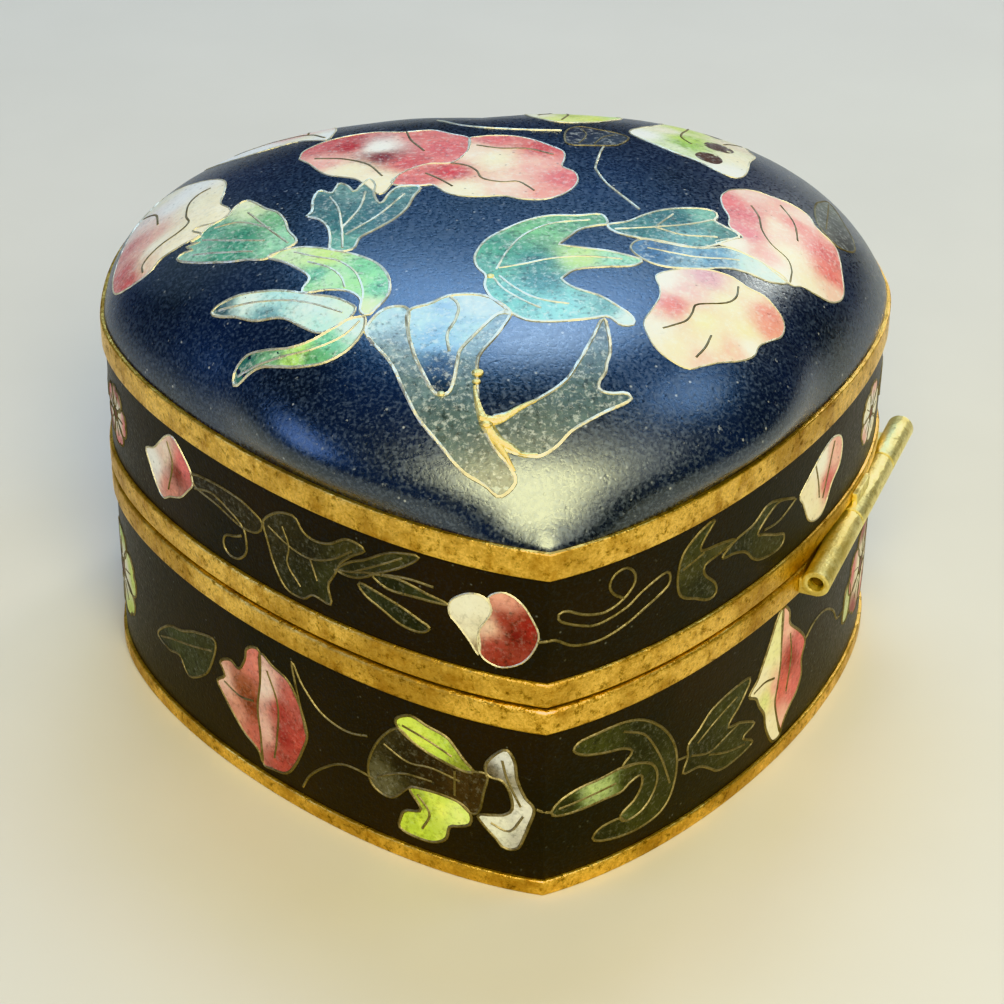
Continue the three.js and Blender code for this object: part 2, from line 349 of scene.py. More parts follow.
def face_outwards():
    bpy.ops.mesh.select_all(action="SELECT")
    bpy.ops.mesh.normals_make_consistent(inside=False)


def delete_caps(piece):
    """Throws away the faces that look straight up or down, and leaves edit mode."""
    bpy.ops.mesh.select_all(action="DESELECT")
    mesh = bmesh.from_edit_mesh(piece.data)
    for face in mesh.faces:
        face.select = abs(face.normal.z) > 0.9
    mesh.select_flush_mode()
    bmesh.update_edit_mesh(piece.data)
    bpy.ops.mesh.delete(type="FACE")
    finish_edit()


def heart_plate(name, inset, height):
    pick(scribed)
    bpy.ops.object.duplicate()
    plate = bpy.context.object
    plate.name = plate.data.name = name
    edit(plate, "VERT")
    bpy.ops.mesh.remove_doubles(threshold=0.001 * MM)
    bpy.ops.mesh.edge_face_add()
    bpy.ops.mesh.select_mode(type="FACE")
    bpy.ops.mesh.select_all(action="SELECT")
    if inset:
        bpy.ops.mesh.inset(thickness=inset * MM, use_even_offset=True)
        bpy.ops.mesh.select_all(action="INVERT")
        bpy.ops.mesh.delete(type="FACE")
    face_outwards()
    mesh = bmesh.from_edit_mesh(plate.data)
    mesh.faces.ensure_lookup_table()
    if mesh.faces[0].normal.z < 0:
        bpy.ops.mesh.flip_normals()
    bpy.ops.transform.translate(value=(0, 0, height * MM))
    return plate


def extrude_up(by):
    bpy.ops.mesh.extrude_region_move(TRANSFORM_OT_translate={"value": (0, 0, by * MM)})


def apply(piece, kind, **settings):
    pick(piece)
    modifier = piece.modifiers.new(kind.lower(), kind)
    for name, value in settings.items():
        setattr(modifier, name, value)
    bpy.ops.object.modifier_apply(modifier=modifier.name)


def thicken(piece, thickness, even=True):
    apply(piece, "SOLIDIFY", thickness=thickness * MM, offset=-1, use_even_offset=even)


def round_edges(piece, width, segments, sharper_than=60):
    apply(piece, "BEVEL", width=width * MM, segments=segments, limit_method="ANGLE",
          angle_limit=math.radians(sharper_than))


def smooth(piece, degrees=35):
    pick(piece)
    bpy.ops.object.shade_smooth_by_angle(angle=math.radians(degrees))


# %% [markdown]
# **Brass bands.** Each band is a strip standing on edge. A heart is filled, extruded to the strip's
# height, its two big faces are thrown away, and Solidify gives the ribbon its thickness inwards. A small
# bevel rounds the edges that catch the light. It is wider where the two rims meet.

# %% Bands
def wall_ribbon(name, inset, bottom, top):
    ribbon = heart_plate(name, inset, bottom)
    extrude_up(top - bottom)
    delete_caps(ribbon)
    return ribbon


def band(name, bottom, top, edge):
    strip = wall_ribbon(name, 0, bottom, top)
    thicken(strip, SHEET)
    round_edges(strip, edge, 3)
    return strip


foot_band = band("foot_band", 0, FOOT_TOP, 0.15)
base_rim = band("base_rim", BASE_BAND_BOTTOM, BASE_TOP, 0.32)
lid_rim = band("lid_rim", LID_BOTTOM, LID_BAND_TOP, 0.24)
dome_band = band("dome_band", TOP_BAND_BOTTOM, WALL_TOP, 0.12)
print("bands:", [strip.name for strip in (foot_band, base_rim, lid_rim, dome_band)])

# %% [markdown]
# **Copper cup.** A heart is extruded up to the rim, its top face is inset by the sheet's thickness, and
# the inner face is pushed down to the floor: three moves make a bowl with a true wall. The outside is
# hidden by the enamel. The inside wears a plain lining enamel.

# %% Cup
cup = heart_plate("copper_cup", SHEET_INSET, 0)
extrude_up(BASE_TOP - HAIR)
bpy.ops.mesh.inset(thickness=SHEET * MM, use_even_offset=True)
extrude_up(FOOT_TOP - BASE_TOP + HAIR)
finish_edit()
smooth(cup)
print("cup height, mm:", round(cup.dimensions.z / MM, 2))

# %% [markdown]
# **Domed sheet.** A press forms the dome from flat sheet. Rings of the heart, each a little smaller, are
# extruded inwards and closed at the crown, still flat. `press` then moves every point: near the edge the
# ring keeps the heart's corners, further up it eases into an oval, and its height follows a full, low
# curve with a steep shoulder. Towards the tip it eases much sooner, so that the tip rises in one broad,
# round swell without a crease.

# %% Dome
CROWN = Vector((0, -3.6))
OVAL = {"side": 29.4, "front": 30.0, "back": 27.0}
RINGS = (0.997, 0.99, 0.98, 0.965, 0.945, 0.92, 0.89, 0.85, 0.8, 0.74, 0.67, 0.59, 0.5, 0.4, 0.3, 0.2, 0.1)
NEIGHBOURS = np.radians(np.arange(-18, 19, 1.5))
EDGE_HOLD, TIP_HOLD = 4, 40  # how fast a ring lets go of the heart's edge, and of its tip
TIP_START, TIP_SPAN = 0.5, 0.42  # where the tip's part begins, on the way from the crown to the tip
SHOULDER, FULLNESS = 3.5, 0.69  # the curve of the dome's height


def round_the_crown(points):
    """The points' angles round the crown, in order, and how far each lies from it."""
    spokes = np.array(points) - np.array(CROWN)
    angle = np.arctan2(spokes[:, 1], spokes[:, 0])
    order = np.argsort(angle)
    return angle[order], np.hypot(spokes[:, 0], spokes[:, 1])[order]


def reach_at(angle, ring):
    return np.interp(angle, *ring, period=math.tau)


outline_ring = round_the_crown(OUTLINE)


def press(flat, edge_scale, inset):
    """Where a point of the flat sheet ends up on the dome. `inset` is how deep this face lies."""
    rise = DOME_TOP - WALL_TOP - (inset - SOLID_INSET)
    from_crown = flat - CROWN
    if from_crown.length < 1e-4:
        return Vector((*CROWN, WALL_TOP + rise))
    way = from_crown.normalized()
    angle = math.atan2(way.y, way.x)
    full = reach_at(angle, outline_ring)
    reach = min(from_crown.length / (full * edge_scale), 1.0)
    near_tip = min(max((-TIP_START - way.y) / TIP_SPAN, 0), 1)
    corner = near_tip ** 2 * (3 - 2 * near_tip)  # the sheet can't hold the tip's sharp corner far up
    eased = reach_at(angle + NEIGHBOURS, outline_ring).mean()
    full += (eased - full) * (1 - reach ** TIP_HOLD) * corner
    depth = OVAL["back"] if way.y > 0 else OVAL["front"]
    oval = 1 / math.hypot(way.x / (OVAL["side"] - inset), way.y / (depth - inset))
    hold = reach ** EDGE_HOLD * (1 - corner) + reach ** TIP_HOLD * corner
    out = reach * (hold * full * edge_scale + (1 - hold) * oval)
    return Vector((*(CROWN + way * out), WALL_TOP + rise * (1 - reach ** SHOULDER) ** FULLNESS))


def domed_sheet(name, inset, skirt):
    """A dome at this inset, with a straight skirt below it down to the height `skirt`."""
    sheet = heart_plate(name, inset, WALL_TOP)
    centre = (CROWN.x * MM, CROWN.y * MM, WALL_TOP * MM)
    bpy.ops.mesh.delete(type="ONLY_FACE")
    bpy.ops.mesh.select_mode(type="EDGE")
    bpy.ops.mesh.select_all(action="SELECT")
    rim_ring = round_the_crown([(v.co / MM)[:2] for v in bmesh.from_edit_mesh(sheet.data).verts])
    last = 1.0
    for ring in RINGS:
        bpy.ops.mesh.extrude_edges_move()
        bpy.ops.transform.resize(value=(ring / last, ring / last, 1), center_override=centre)
        last = ring
    bpy.ops.mesh.extrude_edges_move()
    bpy.ops.mesh.merge(type="CENTER")
    finish_edit()
    middle = min(sheet.data.vertices, key=lambda v: math.hypot(v.co.x - centre[0], v.co.y - centre[1]))
    middle.co = Vector(centre)
    for v in sheet.data.vertices:
        flat = Vector((v.co.x / MM, v.co.y / MM))
        angle = math.atan2(flat.y - CROWN.y, flat.x - CROWN.x)
        edge_scale = reach_at(angle, rim_ring) / reach_at(angle, outline_ring)
        v.co = press(flat, edge_scale, inset) * MM
    edit(sheet, "EDGE")
    face_outwards()
    if skirt < WALL_TOP:
        bpy.ops.mesh.select_all(action="DESELECT")
        bpy.ops.mesh.select_non_manifold(extend=False)
        bpy.ops.mesh.extrude_edges_move(TRANSFORM_OT_translate={"value": (0, 0, (skirt - WALL_TOP) * MM)})
        face_outwards()
    finish_edit()
    return sheet


lid_sheet = domed_sheet("copper_lid", SHEET_INSET, LID_BOTTOM + HAIR)
thicken(lid_sheet, SHEET)
smooth(lid_sheet)
dome_ground = domed_sheet("dome_ground", DOME_INSET, WALL_TOP - DOME_SKIRT)
dome_skin = BVHTree.FromPolygons([v.co.copy() for v in dome_ground.data.vertices],
                                 [tuple(p.vertices) for p in dome_ground.data.polygons])
thicken(dome_ground, ENAMEL)
smooth(dome_ground, 50)
base_ground = wall_ribbon("base_wall_ground", GROUND_INSET, FOOT_TOP - OVERLAP, BASE_BAND_BOTTOM + OVERLAP)
lid_ground = wall_ribbon("lid_wall_ground", GROUND_INSET, LID_BAND_TOP - OVERLAP, TOP_BAND_BOTTOM + OVERLAP)
for ground in (base_ground, lid_ground):
    thicken(ground, ENAMEL)
    smooth(ground)
print("dome skin top, mm:", round(dome_ground.dimensions.z / MM, 2))

# %% [markdown]
# **Hinge.** Three short brass tubes share one pin, a leaf on each is soldered to its band, and both rims
# are filed to a gutter so that the tubes sit in close. The hinge's line comes from the frame's joint. A
# tube is a cylinder that loses its caps and gets its wall from Solidify. It is made standing at the
# origin, then laid along the line.

# %% Hinge line
joint = frame["joints"][0]
HINGE_PLACE = Vector(joint["pos_m"]) / MM
ALONG = Vector(joint["axis"]).normalized()
OUTWARD = Vector((ALONG.y, -ALONG.x, 0))
LAID = ALONG.to_track_quat("Z", "Y").to_matrix().to_4x4()
TUBES = {"front": (-11.85, -2.85), "middle": (-2.65, 5.75), "back": (5.95, 11.85)}  # stations along the line
LEAVES = {"front": (-11.05, -3.85), "middle": (-2.05, 1.15), "back": (6.55, 10.95)}
LEAF_HEIGHTS = {"front": (-1.6, -0.3), "middle": (0.6, 2.0), "back": (-1.6, -0.3)}
LEAF = 0.4  # how thick a leaf is
TUBE_RADIUS, TUBE_WALL, PIN_RADIUS, GUTTER_RADIUS = 1.05, 0.47, 0.5, 1.35
FIRST, LAST = TUBES["front"][0], TUBES["back"][1]
PIN_SHORT, GUTTER_LONG = 0.6, 0.3  # at each end, against the row of tubes
print("hinge through", [round(v, 2) for v in HINGE_PLACE], "along", [round(v, 3) for v in ALONG])


def rod(name, radius, start, end):
    """A round bar made upright round the origin. It is laid along the hinge when its ends are finished."""
    bpy.ops.mesh.primitive_cylinder_add(vertices=48, radius=radius * MM, depth=(end - start) * MM,
                                        location=(0, 0, 0))
    piece = bpy.context.object
    piece.name = piece.data.name = name
    return piece


def lay_along_hinge(piece, start, end):
    station = (start + end) / 2
    piece.data.transform(Matrix.Translation((HINGE_PLACE + ALONG * station) * MM) @ LAID)
    piece.data.update()


def tube(name, start, end):
    piece = rod(name, TUBE_RADIUS, start, end)
    edit(piece)
    delete_caps(piece)
    thicken(piece, TUBE_WALL, even=False)
    round_edges(piece, 0.1, 2)
    lay_along_hinge(piece, start, end)
    return piece


# %% [markdown]
# A leaf runs from its tube to the band and follows the band's curve. A cube is cut into steps along its
# length. Its inner side is then pushed to the band's face, and its outer side stays in the tube's wall.

# %% Knuckles and pin
NEARBY = -8  # points of the outline further in than this are on the heart's other side
steps_out = [(Vector((*p, 0)) - HINGE_PLACE) for p in OUTLINE]
near = sorted((s.dot(ALONG), s.dot(OUTWARD)) for s in steps_out if s.dot(OUTWARD) > NEARBY)
face_along, face_out = zip(*near)


def leaf(name, stations, heights):
    bpy.ops.mesh.primitive_cube_add(size=1, location=(0, 0, 0))
    piece = bpy.context.object
    piece.name = name
    edit(piece)
    bpy.ops.mesh.subdivide(number_cuts=7)
    finish_edit()
    for v in piece.data.vertices:
        station = stations[0] + (v.co.x + 0.5) * (stations[1] - stations[0])
        face = float(np.interp(station, face_along, face_out)) + HAIR
        out = face + (v.co.y + 0.5) * (max(LEAF, -face) if face < 0 else LEAF)
        height = heights[0] + (v.co.z + 0.5) * (heights[1] - heights[0])
        v.co = (HINGE_PLACE + ALONG * station + OUTWARD * out + Vector((0, 0, height))) * MM
    edit(piece)
    face_outwards()
    finish_edit()
    round_edges(piece, 0.08, 2, sharper_than=50)
    return piece


def knuckle(place):
    barrel = tube("knuckle_" + place, *TUBES[place])
    strap = leaf("strap", LEAVES[place], LEAF_HEIGHTS[place])
    pick(barrel, strap)
    bpy.ops.object.join()
    smooth(barrel)
    return barrel


knuckles = {place: knuckle(place) for place in TUBES}
pin = rod("pin", PIN_RADIUS, FIRST + PIN_SHORT, LAST - PIN_SHORT)
round_edges(pin, 0.15, 3)
lay_along_hinge(pin, FIRST, LAST)
smooth(pin)
print("hinge:", [k.name for k in knuckles.values()], pin.name)

# %% [markdown]
# The gutter for the tubes is filed through both rims at once. A round bar a little thicker than the
# tubes is taken away from each piece that it touches, by a Boolean, and then thrown away.

# %% Hinge gutter
file_bar = rod("file_bar", GUTTER_RADIUS, FIRST - GUTTER_LONG, LAST + GUTTER_LONG)
lay_along_hinge(file_bar, FIRST, LAST)
for piece in (cup, lid_sheet, base_rim, lid_rim):
    apply(piece, "BOOLEAN", operation="DIFFERENCE", object=file_bar, solver="EXACT")
bpy.data.objects.remove(file_bar)
for piece in (foot_band, base_rim, lid_rim, dome_band):
    smooth(piece, 40)
print("gutter radius, mm:", GUTTER_RADIUS)

# %% [markdown]
# **Drawing on the box.** A cloisonne worker draws each flower on the metal first. Here a stroke is a few
# points in millimetres: across the dome as seen from above, or round a wall, where the first number is
# the way round from the tip, to the right, and the second is the height. `flowing` draws a smooth line
# through them. `on_dome` drops a point onto the pressed skin, and `on_wall` wraps it round the heart.

# %% Strokes and surfaces
def stroke(text):
    return [tuple(float(v) for v in pair.split(",")) for pair in text.split()]


def lengths(edges):
    return np.hypot(edges[:, 0], edges[:, 1])


def flowing(points, closed=False, step=0.35):
    p = np.array(points, float)
    ends = np.vstack([p[-1:], p, p[:2]]) if closed else np.vstack([2 * p[0] - p[1], p, 2 * p[-1] - p[-2]])
    t = np.linspace(0, 1, 9)[:-1, None]
    line = []
    for a, b, c, d in zip(ends, ends[1:], ends[2:], ends[3:]):
        line.append(0.5 * (2 * b + (c - a) * t + (2 * a - 5 * b + 4 * c - d) * t ** 2
                           + (3 * b - 3 * c + d - a) * t ** 3))
    line = np.vstack(line + [p[:1] if closed else p[-1:]])
    run = np.r_[0, np.cumsum(lengths(np.diff(line, axis=0)))]
    count = max(int(run[-1] / step), 3)
    where = np.linspace(0, run[-1], count + 1)[:-1 if closed else None]
    return np.c_[np.interp(where, run, line[:, 0]), np.interp(where, run, line[:, 1])]


@cache
def wall_face(inset):
    """The outline moved inwards, its corners mitred."""
    before = OUTLINE - np.roll(OUTLINE, 1, axis=0)
    after = np.roll(OUTLINE, -1, axis=0) - OUTLINE
    normal = [np.c_[e[:, 1], -e[:, 0]] / lengths(e)[:, None] for e in (before, after)]
    mitre = (normal[0] + normal[1]) / (1 + (normal[0] * normal[1]).sum(1))[:, None]
    return OUTLINE - mitre * inset


ABOVE = 60  # well over the dome
wall_run = np.r_[0, np.cumsum(lengths(np.diff(np.vstack([OUTLINE, OUTLINE[:1]]), axis=0)))]
print("once round the heart:", round(wall_run[-1], 1), "mm")


def on_dome(x, y, lift):
    hit, normal, *_ = dome_skin.ray_cast(Vector((x, y, ABOVE)) * MM, Vector((0, 0, -1)))
    if hit is None:
        hit, normal, *_ = dome_skin.find_nearest(Vector((x, y, WALL_TOP)) * MM)
    return hit + normal * lift * MM


def on_wall(u, z, lift):
    face = wall_face(GROUND_INSET - lift)
    x, y = (np.interp(u % wall_run[-1], wall_run, np.r_[face[:, k], face[0, k]]) for k in (0, 1))
    return Vector((x, y, z)) * MM


# %% [markdown]
# **Cells and wires.** A cell is one puddle of glass inside a loop of wire. Its loop is filled with
# small, even triangles, which no operator gives for a curved patch, so they come from a Delaunay fill.
# Each cell names a few touches of colour, and a point between them takes a share of each, as wet glass
# powders run together. A wire is a curve with a round profile, sunk until only its polished top shows.

# %% Cells and wires
GRID, MARGIN = 0.4, 0.18  # the size of the triangles, and how near the wire their corners may come
FIRST_LIFT, NEXT_LIFT = 0.012, 0.0006  # each cell lies a little higher than the ground and the cell before it
TOUCH, FADE = 0.15, 1.6  # the size of a touch of colour, and how fast it gives way to the next
VEIN = 0.85  # a vein's gauge against that of the wire round its cell
WIRE_TOP, WIRE_SINK = 0.03, 0.625  # the height of a wire's middle, and how much deeper a thick wire is sunk


def deep_inside(edge, x, y, margin):
    """Whether a point lies inside the loop and not within the margin of it."""
    ahead = np.roll(edge, -1, axis=0)
    crossing = (edge[:, 1] > y) != (ahead[:, 1] > y)
    rise = np.where(ahead[:, 1] == edge[:, 1], 1, ahead[:, 1] - edge[:, 1])
    hits = crossing & (x < (ahead[:, 0] - edge[:, 0]) * (y - edge[:, 1]) / rise + edge[:, 0])
    return hits.sum() % 2 == 1 and lengths(edge - (x, y)).min() > margin


class Panel:
    """One enamelled area: the cells, wires and drops of solder drawn on it so far."""
    def __init__(self, name, place):
        self.name, self.place = name, place
        self.points, self.faces, self.colours, self.wires, self.beads = [], [], [], [], []
        self.layer = 0

    def cell(self, outline, colours, *veins, wire=0.15, tone="dull", rim=None):
        edge = flowing(stroke(outline), closed=True)
        across = [np.arange(math.ceil(a / GRID), b / GRID) * GRID for a, b in zip(edge.min(0), edge.max(0))]
        inside = [(x, y) for x in across[0] for y in across[1] if deep_inside(edge, x, y, MARGIN)]
        ring = [(i, (i + 1) % len(edge)) for i in range(len(edge))]
        flat, _, faces, *_ = delaunay_2d_cdt([Vector(p) for p in [*edge, *inside]], ring, [], 1, 1e-5)
        start = len(self.points)
        self.layer += 1
        touches = [(np.array(where), np.array(srgb(*colour))) for where, colour in colours.items()]
        for p in flat:
            self.points.append(self.place(p.x, p.y, FIRST_LIFT + NEXT_LIFT * self.layer))
            shares = [1 / (((np.array(p) - where) ** 2).sum() + TOUCH) ** FADE for where, _ in touches]
            self.colours.append(sum(s * colour for s, (_, colour) in zip(shares, touches)) / sum(shares))
        self.faces += [[start + i for i in face] for face in faces]
        if wire:
            self.wires.append((np.vstack([edge, edge[:1]]), *(rim or (wire, tone))))
        for vein in veins:
            self.wire(vein, wire * VEIN, tone)

    def wire(self, text, gauge, tone="dull", swell=0.0, peak=0.5):
        """A wire of this gauge, thicker by `swell` at the share `peak` of the way along it."""
        line = flowing(stroke(text))
        fade = np.clip(1 - abs(np.linspace(0, 1, len(line)) - peak) / max(peak, 1 - peak), 0, 1)
        self.wires.append((line, gauge + swell * fade ** 1.4, tone))

    def report(self):
        print(self.name, "has", self.layer, "cells and", len(self.wires), "wires so far")

    def make_cells(self):
        mesh = bpy.data.meshes.new(self.name + "_cells")
        mesh.from_pydata(self.points, [], self.faces)
        glass = mesh.color_attributes.new("glass", "FLOAT_COLOR", "POINT")
        glass.data.foreach_set("color", np.c_[self.colours, np.ones(len(self.colours))].ravel())
        piece = bpy.data.objects.new(self.name + "_cells", mesh)
        bpy.context.scene.collection.objects.link(piece)
        middle = Vector((0, 0, 10)) * MM  # inside the box, so every cell has to face away from it
        mesh.update()
        inwards = [i for i, face in enumerate(mesh.polygons) if face.normal.dot(face.center - middle) < 0]
        edit(piece)
        bpy.ops.mesh.select_all(action="DESELECT")
        cells = bmesh.from_edit_mesh(mesh)
        cells.faces.ensure_lookup_table()
        for i in inwards:
            cells.faces[i].select = True
        bmesh.update_edit_mesh(mesh)
        bpy.ops.mesh.flip_normals()
        finish_edit()
        smooth(piece, 60)
        return piece

    def make_beads(self):
        drops = []
        for x, y, radius in self.beads:
            bpy.ops.mesh.primitive_uv_sphere_add(segments=14, ring_count=8, radius=radius * MM,
                                                 scale=(1, 1, 0.45), location=self.place(x, y, 0))
            bpy.ops.object.transform_apply(location=True, rotation=True, scale=True)
            drops.append(bpy.context.object)
        return drops

    def make_wires(self, tone):
        clear_selection()
        bpy.ops.curve.primitive_bezier_curve_add(location=(0, 0, 0))
        piece = bpy.context.object
        piece.name = piece.data.name = f"{self.name}_{tone}_wires"
        piece.data.splines.clear()
        piece.data.bevel_depth = 1 * MM
        piece.data.bevel_resolution = 1
        piece.data.use_fill_caps = True
        for line, gauge, own_tone in self.wires:
            if own_tone != tone:
                continue
            run = piece.data.splines.new("POLY")
            run.points.add(len(line) - 1)
            for knot, (x, y), radius in zip(run.points, line, np.broadcast_to(gauge, len(line))):
                knot.co = (*self.place(x, y, WIRE_TOP - WIRE_SINK * radius), 1)
                knot.radius = radius
        bpy.ops.object.convert(target="MESH")
        if tone == "gold" and self.beads:
            pick(piece, *self.make_beads())
            bpy.ops.object.join()
        smooth(piece, 60)
        return piece


PETAL_RIM = (0.09, "pale")  # a petal's edge is a thin wire ground almost flush
WHITE, CREAM, BLUSH, ROSE = (240, 240, 234), (238, 230, 200), (232, 172, 164), (206, 104, 108)
RED, BRICK, MAUVE, ICE = (140, 30, 36), (110, 40, 32), (196, 152, 170), (196, 224, 226)
LIME, GREEN, SEA, TEAL = (198, 218, 98), (74, 142, 84), (64, 140, 122), (36, 98, 108)
OLIVE, MOSS, BARK, NIGHT = (42, 45, 25), (25, 28, 18), (34, 22, 16), (20, 36, 62)
dome, lid_wall, base_wall = Panel("dome", on_dome), Panel("lid_wall", on_wall), Panel("base_wall", on_wall)
print("panels:", [panel.name for panel in (dome, lid_wall, base_wall)])

# %% [markdown]
# **Front bud.** A translucent grey-green calyx rises from the tip and splits round a pale blue bud, and
# a leaf sweeps off to the right. Its wires are the brightest on the lid, with drops of brass where two
# wires were pushed together.

# %% Front bud and stem
dome.cell(
    "-10.9,-20 -11,-19 -10.3,-18 -9.5,-17.4 -8.5,-17.4 -8,-18 -8.2,-20 -8,-22 -7.6,-23.5 -7,-25.2 -6.5,-25.7 "
    "-5.9,-25.6 -5.5,-24.8 -5.1,-23.2 -4.8,-22.3 -3.5,-20.8 -2,-19.2 -1.1,-19.2 -2.2,-21.2 -3.6,-23 "
    "-3.9,-24.4 -4,-26 -4,-27.5 -3.4,-29.2 -2.8,-30 -1.9,-31.2 -3,-31.8 -4,-31.2 -5.5,-30.3 -6.8,-28.7 "
    "-8,-27 -8.8,-25 -9.6,-22.5",
    {(-9.8, -18.6): (156, 188, 204), (-9.5, -21): (110, 132, 144), (-8.5, -24): (88, 108, 116),
     (-6, -28): (66, 84, 88), (-3, -21.4): (104, 132, 150), (-3.8, -25): (78, 98, 106),
     (-3.5, -30.5): (72, 86, 84)}, wire=0.17, tone="pale")
dome.cell(
    "-8,-18 -6.5,-17.5 -5,-16.8 -3,-17 -1.8,-18 -1.1,-19.2 -2,-19.2 -3.5,-20.8 -4.8,-22.3 -5.1,-23.2 "
    "-5.5,-24.8 -5.9,-25.6 -6.5,-25.7 -7,-25.2 -7.6,-23.5 -8,-22 -8.2,-20",
    {(-6.8, -18.6): (164, 204, 226), (-3.6, -18): (186, 214, 228), (-6.2, -21.2): (120, 166, 208),
     (-4.2, -20.2): (150, 190, 216), (-5.6, -18.2): (140, 182, 220), (-6.4, -23.4): (40, 66, 104),
     (-6.4, -24.9): NIGHT}, "-5.1,-16.9 -4.6,-18 -4.9,-19.4 -5.6,-20.8 -5.6,-22.4", wire=0.19, tone="pale")
dome.cell(
    "-3.3,-27.8 -2,-27.5 0,-26.7 1.8,-25.6 2.8,-24.3 3.8,-22.6 4.6,-21 5,-20.2 5.3,-20.2 5.3,-22.8 4.9,-24 "
    "4.7,-24.8 4.2,-25.5 4.2,-26.1 5,-26.3 5.9,-26.2 6.3,-26.5 5.8,-26.9 4.5,-27.5 3.5,-28 2,-28.8 1,-29.6 "
    "0,-30.1 -1,-30.1 -2.7,-29.5",
    {(4.6, -22): (74, 94, 104), (3, -26.5): (70, 88, 92), (-1, -28.7): (76, 90, 90)}, wire=0.17, tone="pale")
for line, peak in (("-4.15,-25.4 -4.1,-26.4 -3.95,-27.3 -3.7,-28 -3.2,-28.8 -2.6,-29.8 -2,-30.8", 0.5),
                   ("-3.9,-27.7 -3.1,-27.9 -2.3,-27.7 -1.2,-27.2 -0.2,-26.8", 0),
                   ("-3.5,-28.4 -2.9,-29.1 -2.2,-29.5 -1.4,-30 -0.4,-30.1", 0)):
    dome.wire(line, 0.17, "gold", swell=0.45, peak=peak)
dome.beads += [(-3.85, -24.4, 0.42), (-4, -25.1, 0.3), (-6.4, -25.6, 0.3), (-3.6, -28, 0.5)]
dome.report()

# %% [markdown]
# **Left-hand spray.** A lime crescent leaf curls over two swallow-tailed petals, ice blue above and green
# below.

# %% Left crescent and petals
dome.cell(
    "-21.5,-11.8 -20.5,-11.6 -19.3,-11.8 -17.5,-12.5 -16,-13.3 -14.5,-14.3 -13,-15.2 -12,-16.2 -11.6,-16.9 "
    "-12.2,-17.8 -13.5,-18.4 -14.4,-18.2 -15.5,-17 -16.3,-16 -17,-15.5 -18.5,-14.8 -19.8,-13.6 -21,-12.6",
    {(-20.6, -12.2): (52, 84, 100), (-19, -12.6): ICE, (-17, -13.6): (166, 212, 220), (-14.3, -15.6): ICE,
     (-12.6, -16.9): (204, 230, 214), (-17.8, -14.8): (96, 140, 156), (-14, -17.4): (176, 220, 220)},
    "-21,-12.1 -19,-12.9 -16.5,-14 -14.5,-15.3 -12.5,-17", tone="pale")
dome.cell(
    "-20.1,-17.5 -19,-17.2 -17,-18.3 -16,-18.7 -14.8,-18.8 -13.5,-18.4 -12.2,-17.8 -11.2,-17.8 -11,-18 "
    "-11.2,-19.2 -12,-20.3 -13,-20.9 -14.3,-21 -15.8,-20.5 -17,-19.7 -18.5,-18.7 -20,-18.4",
    {(-19.4, -17.9): (50, 96, 96), (-16, -19.6): (166, 208, 110), (-13.6, -19.4): (104, 178, 150),
     (-12, -18.6): ICE, (-14.6, -20.4): (84, 146, 104), (-17.6, -18.6): (110, 160, 130)},
    "-19.8,-18 -17,-19 -14.5,-19.6 -12.5,-19.2 -11.4,-18.2", tone="pale")
dome.cell(
    "-17.4,-8.6 -16.8,-8.3 -15.2,-8.3 -14,-8.8 -12.5,-9.7 -11,-10.7 -9.8,-12 -9.2,-13.5 -9.1,-14.8 -9.3,-16 "
    "-10,-17 -10.8,-17.8 -11.3,-17.2 -11.2,-16 -12,-14.8 -13.5,-14.2 -15,-13.9 -15.1,-13.4 -14.6,-12.6 "
    "-14.8,-11.8 -15.6,-10.6 -16.4,-9.6",
    {(-16, -9.2): (186, 214, 170), (-13.4, -10.4): (190, 224, 130), (-10.8, -12.2): (110, 184, 130),
     (-10, -15): (96, 172, 130), (-12.8, -13): (170, 220, 170), (-14, -12): (90, 160, 136),
     (-10.9, -17): (206, 226, 176), (-11.6, -14.4): (150, 214, 140)},
    "-15.5,-8.8 -14,-10 -12.5,-11 -11.5,-12.5 -11.1,-14 -11,-15.5 -11.3,-16.8",
    "-14.6,-10.4 -13.2,-11.6 -12.4,-13 -12.2,-14.4", tone="pale")
dome.report()

# %% [markdown]
# **Left-hand leaves.** One is opaque green with a toothed edge and pale streaks, the other a dark,
# see-through teal with five lobes.

# %% Toothed leaf and teal leaf
dome.cell(
    "-15.3,-7.5 -15.8,-5.7 -16,-4.1 -16.5,-2.6 -17.3,-1.6 -18,-0.2 -18.7,0.8 -19.5,0.3 -20,-0.6 -20.7,-1.2 "
    "-21.4,-1.1 -22.2,-0.7 -22.7,-0.9 -22,-2.2 -22.9,-2.6 -22.2,-3.2 -23.2,-2.9 -22.7,-3.8 -23.5,-3.5 "
    "-23.9,-3.8 -23.3,-4.8 -22,-6.1 -20.4,-7.3 -19,-8 -17.6,-8.7 -16.6,-8.3",
    {(-19.1, -4.6): (56, 126, 104), (-21.1, -2.4): (84, 150, 130), (-23.1, -4.2): (126, 172, 160),
     (-18.3, -1.2): (196, 216, 174), (-17, -3.6): (108, 164, 122), (-16.4, -6.8): (136, 188, 160),
     (-20, -6.2): (72, 142, 122), (-18.6, 0.2): (216, 224, 190)}, "-15.9,-7.4 -17.2,-4.8 -18.6,-1.4",
    "-17.5,-6.3 -19.8,-4.9 -22,-3.1", "-17.1,-4.7 -19.2,-2.6 -21.1,-2", "-18.4,-7.3 -20.7,-5.9 -22.7,-4.5",
    tone="pale")
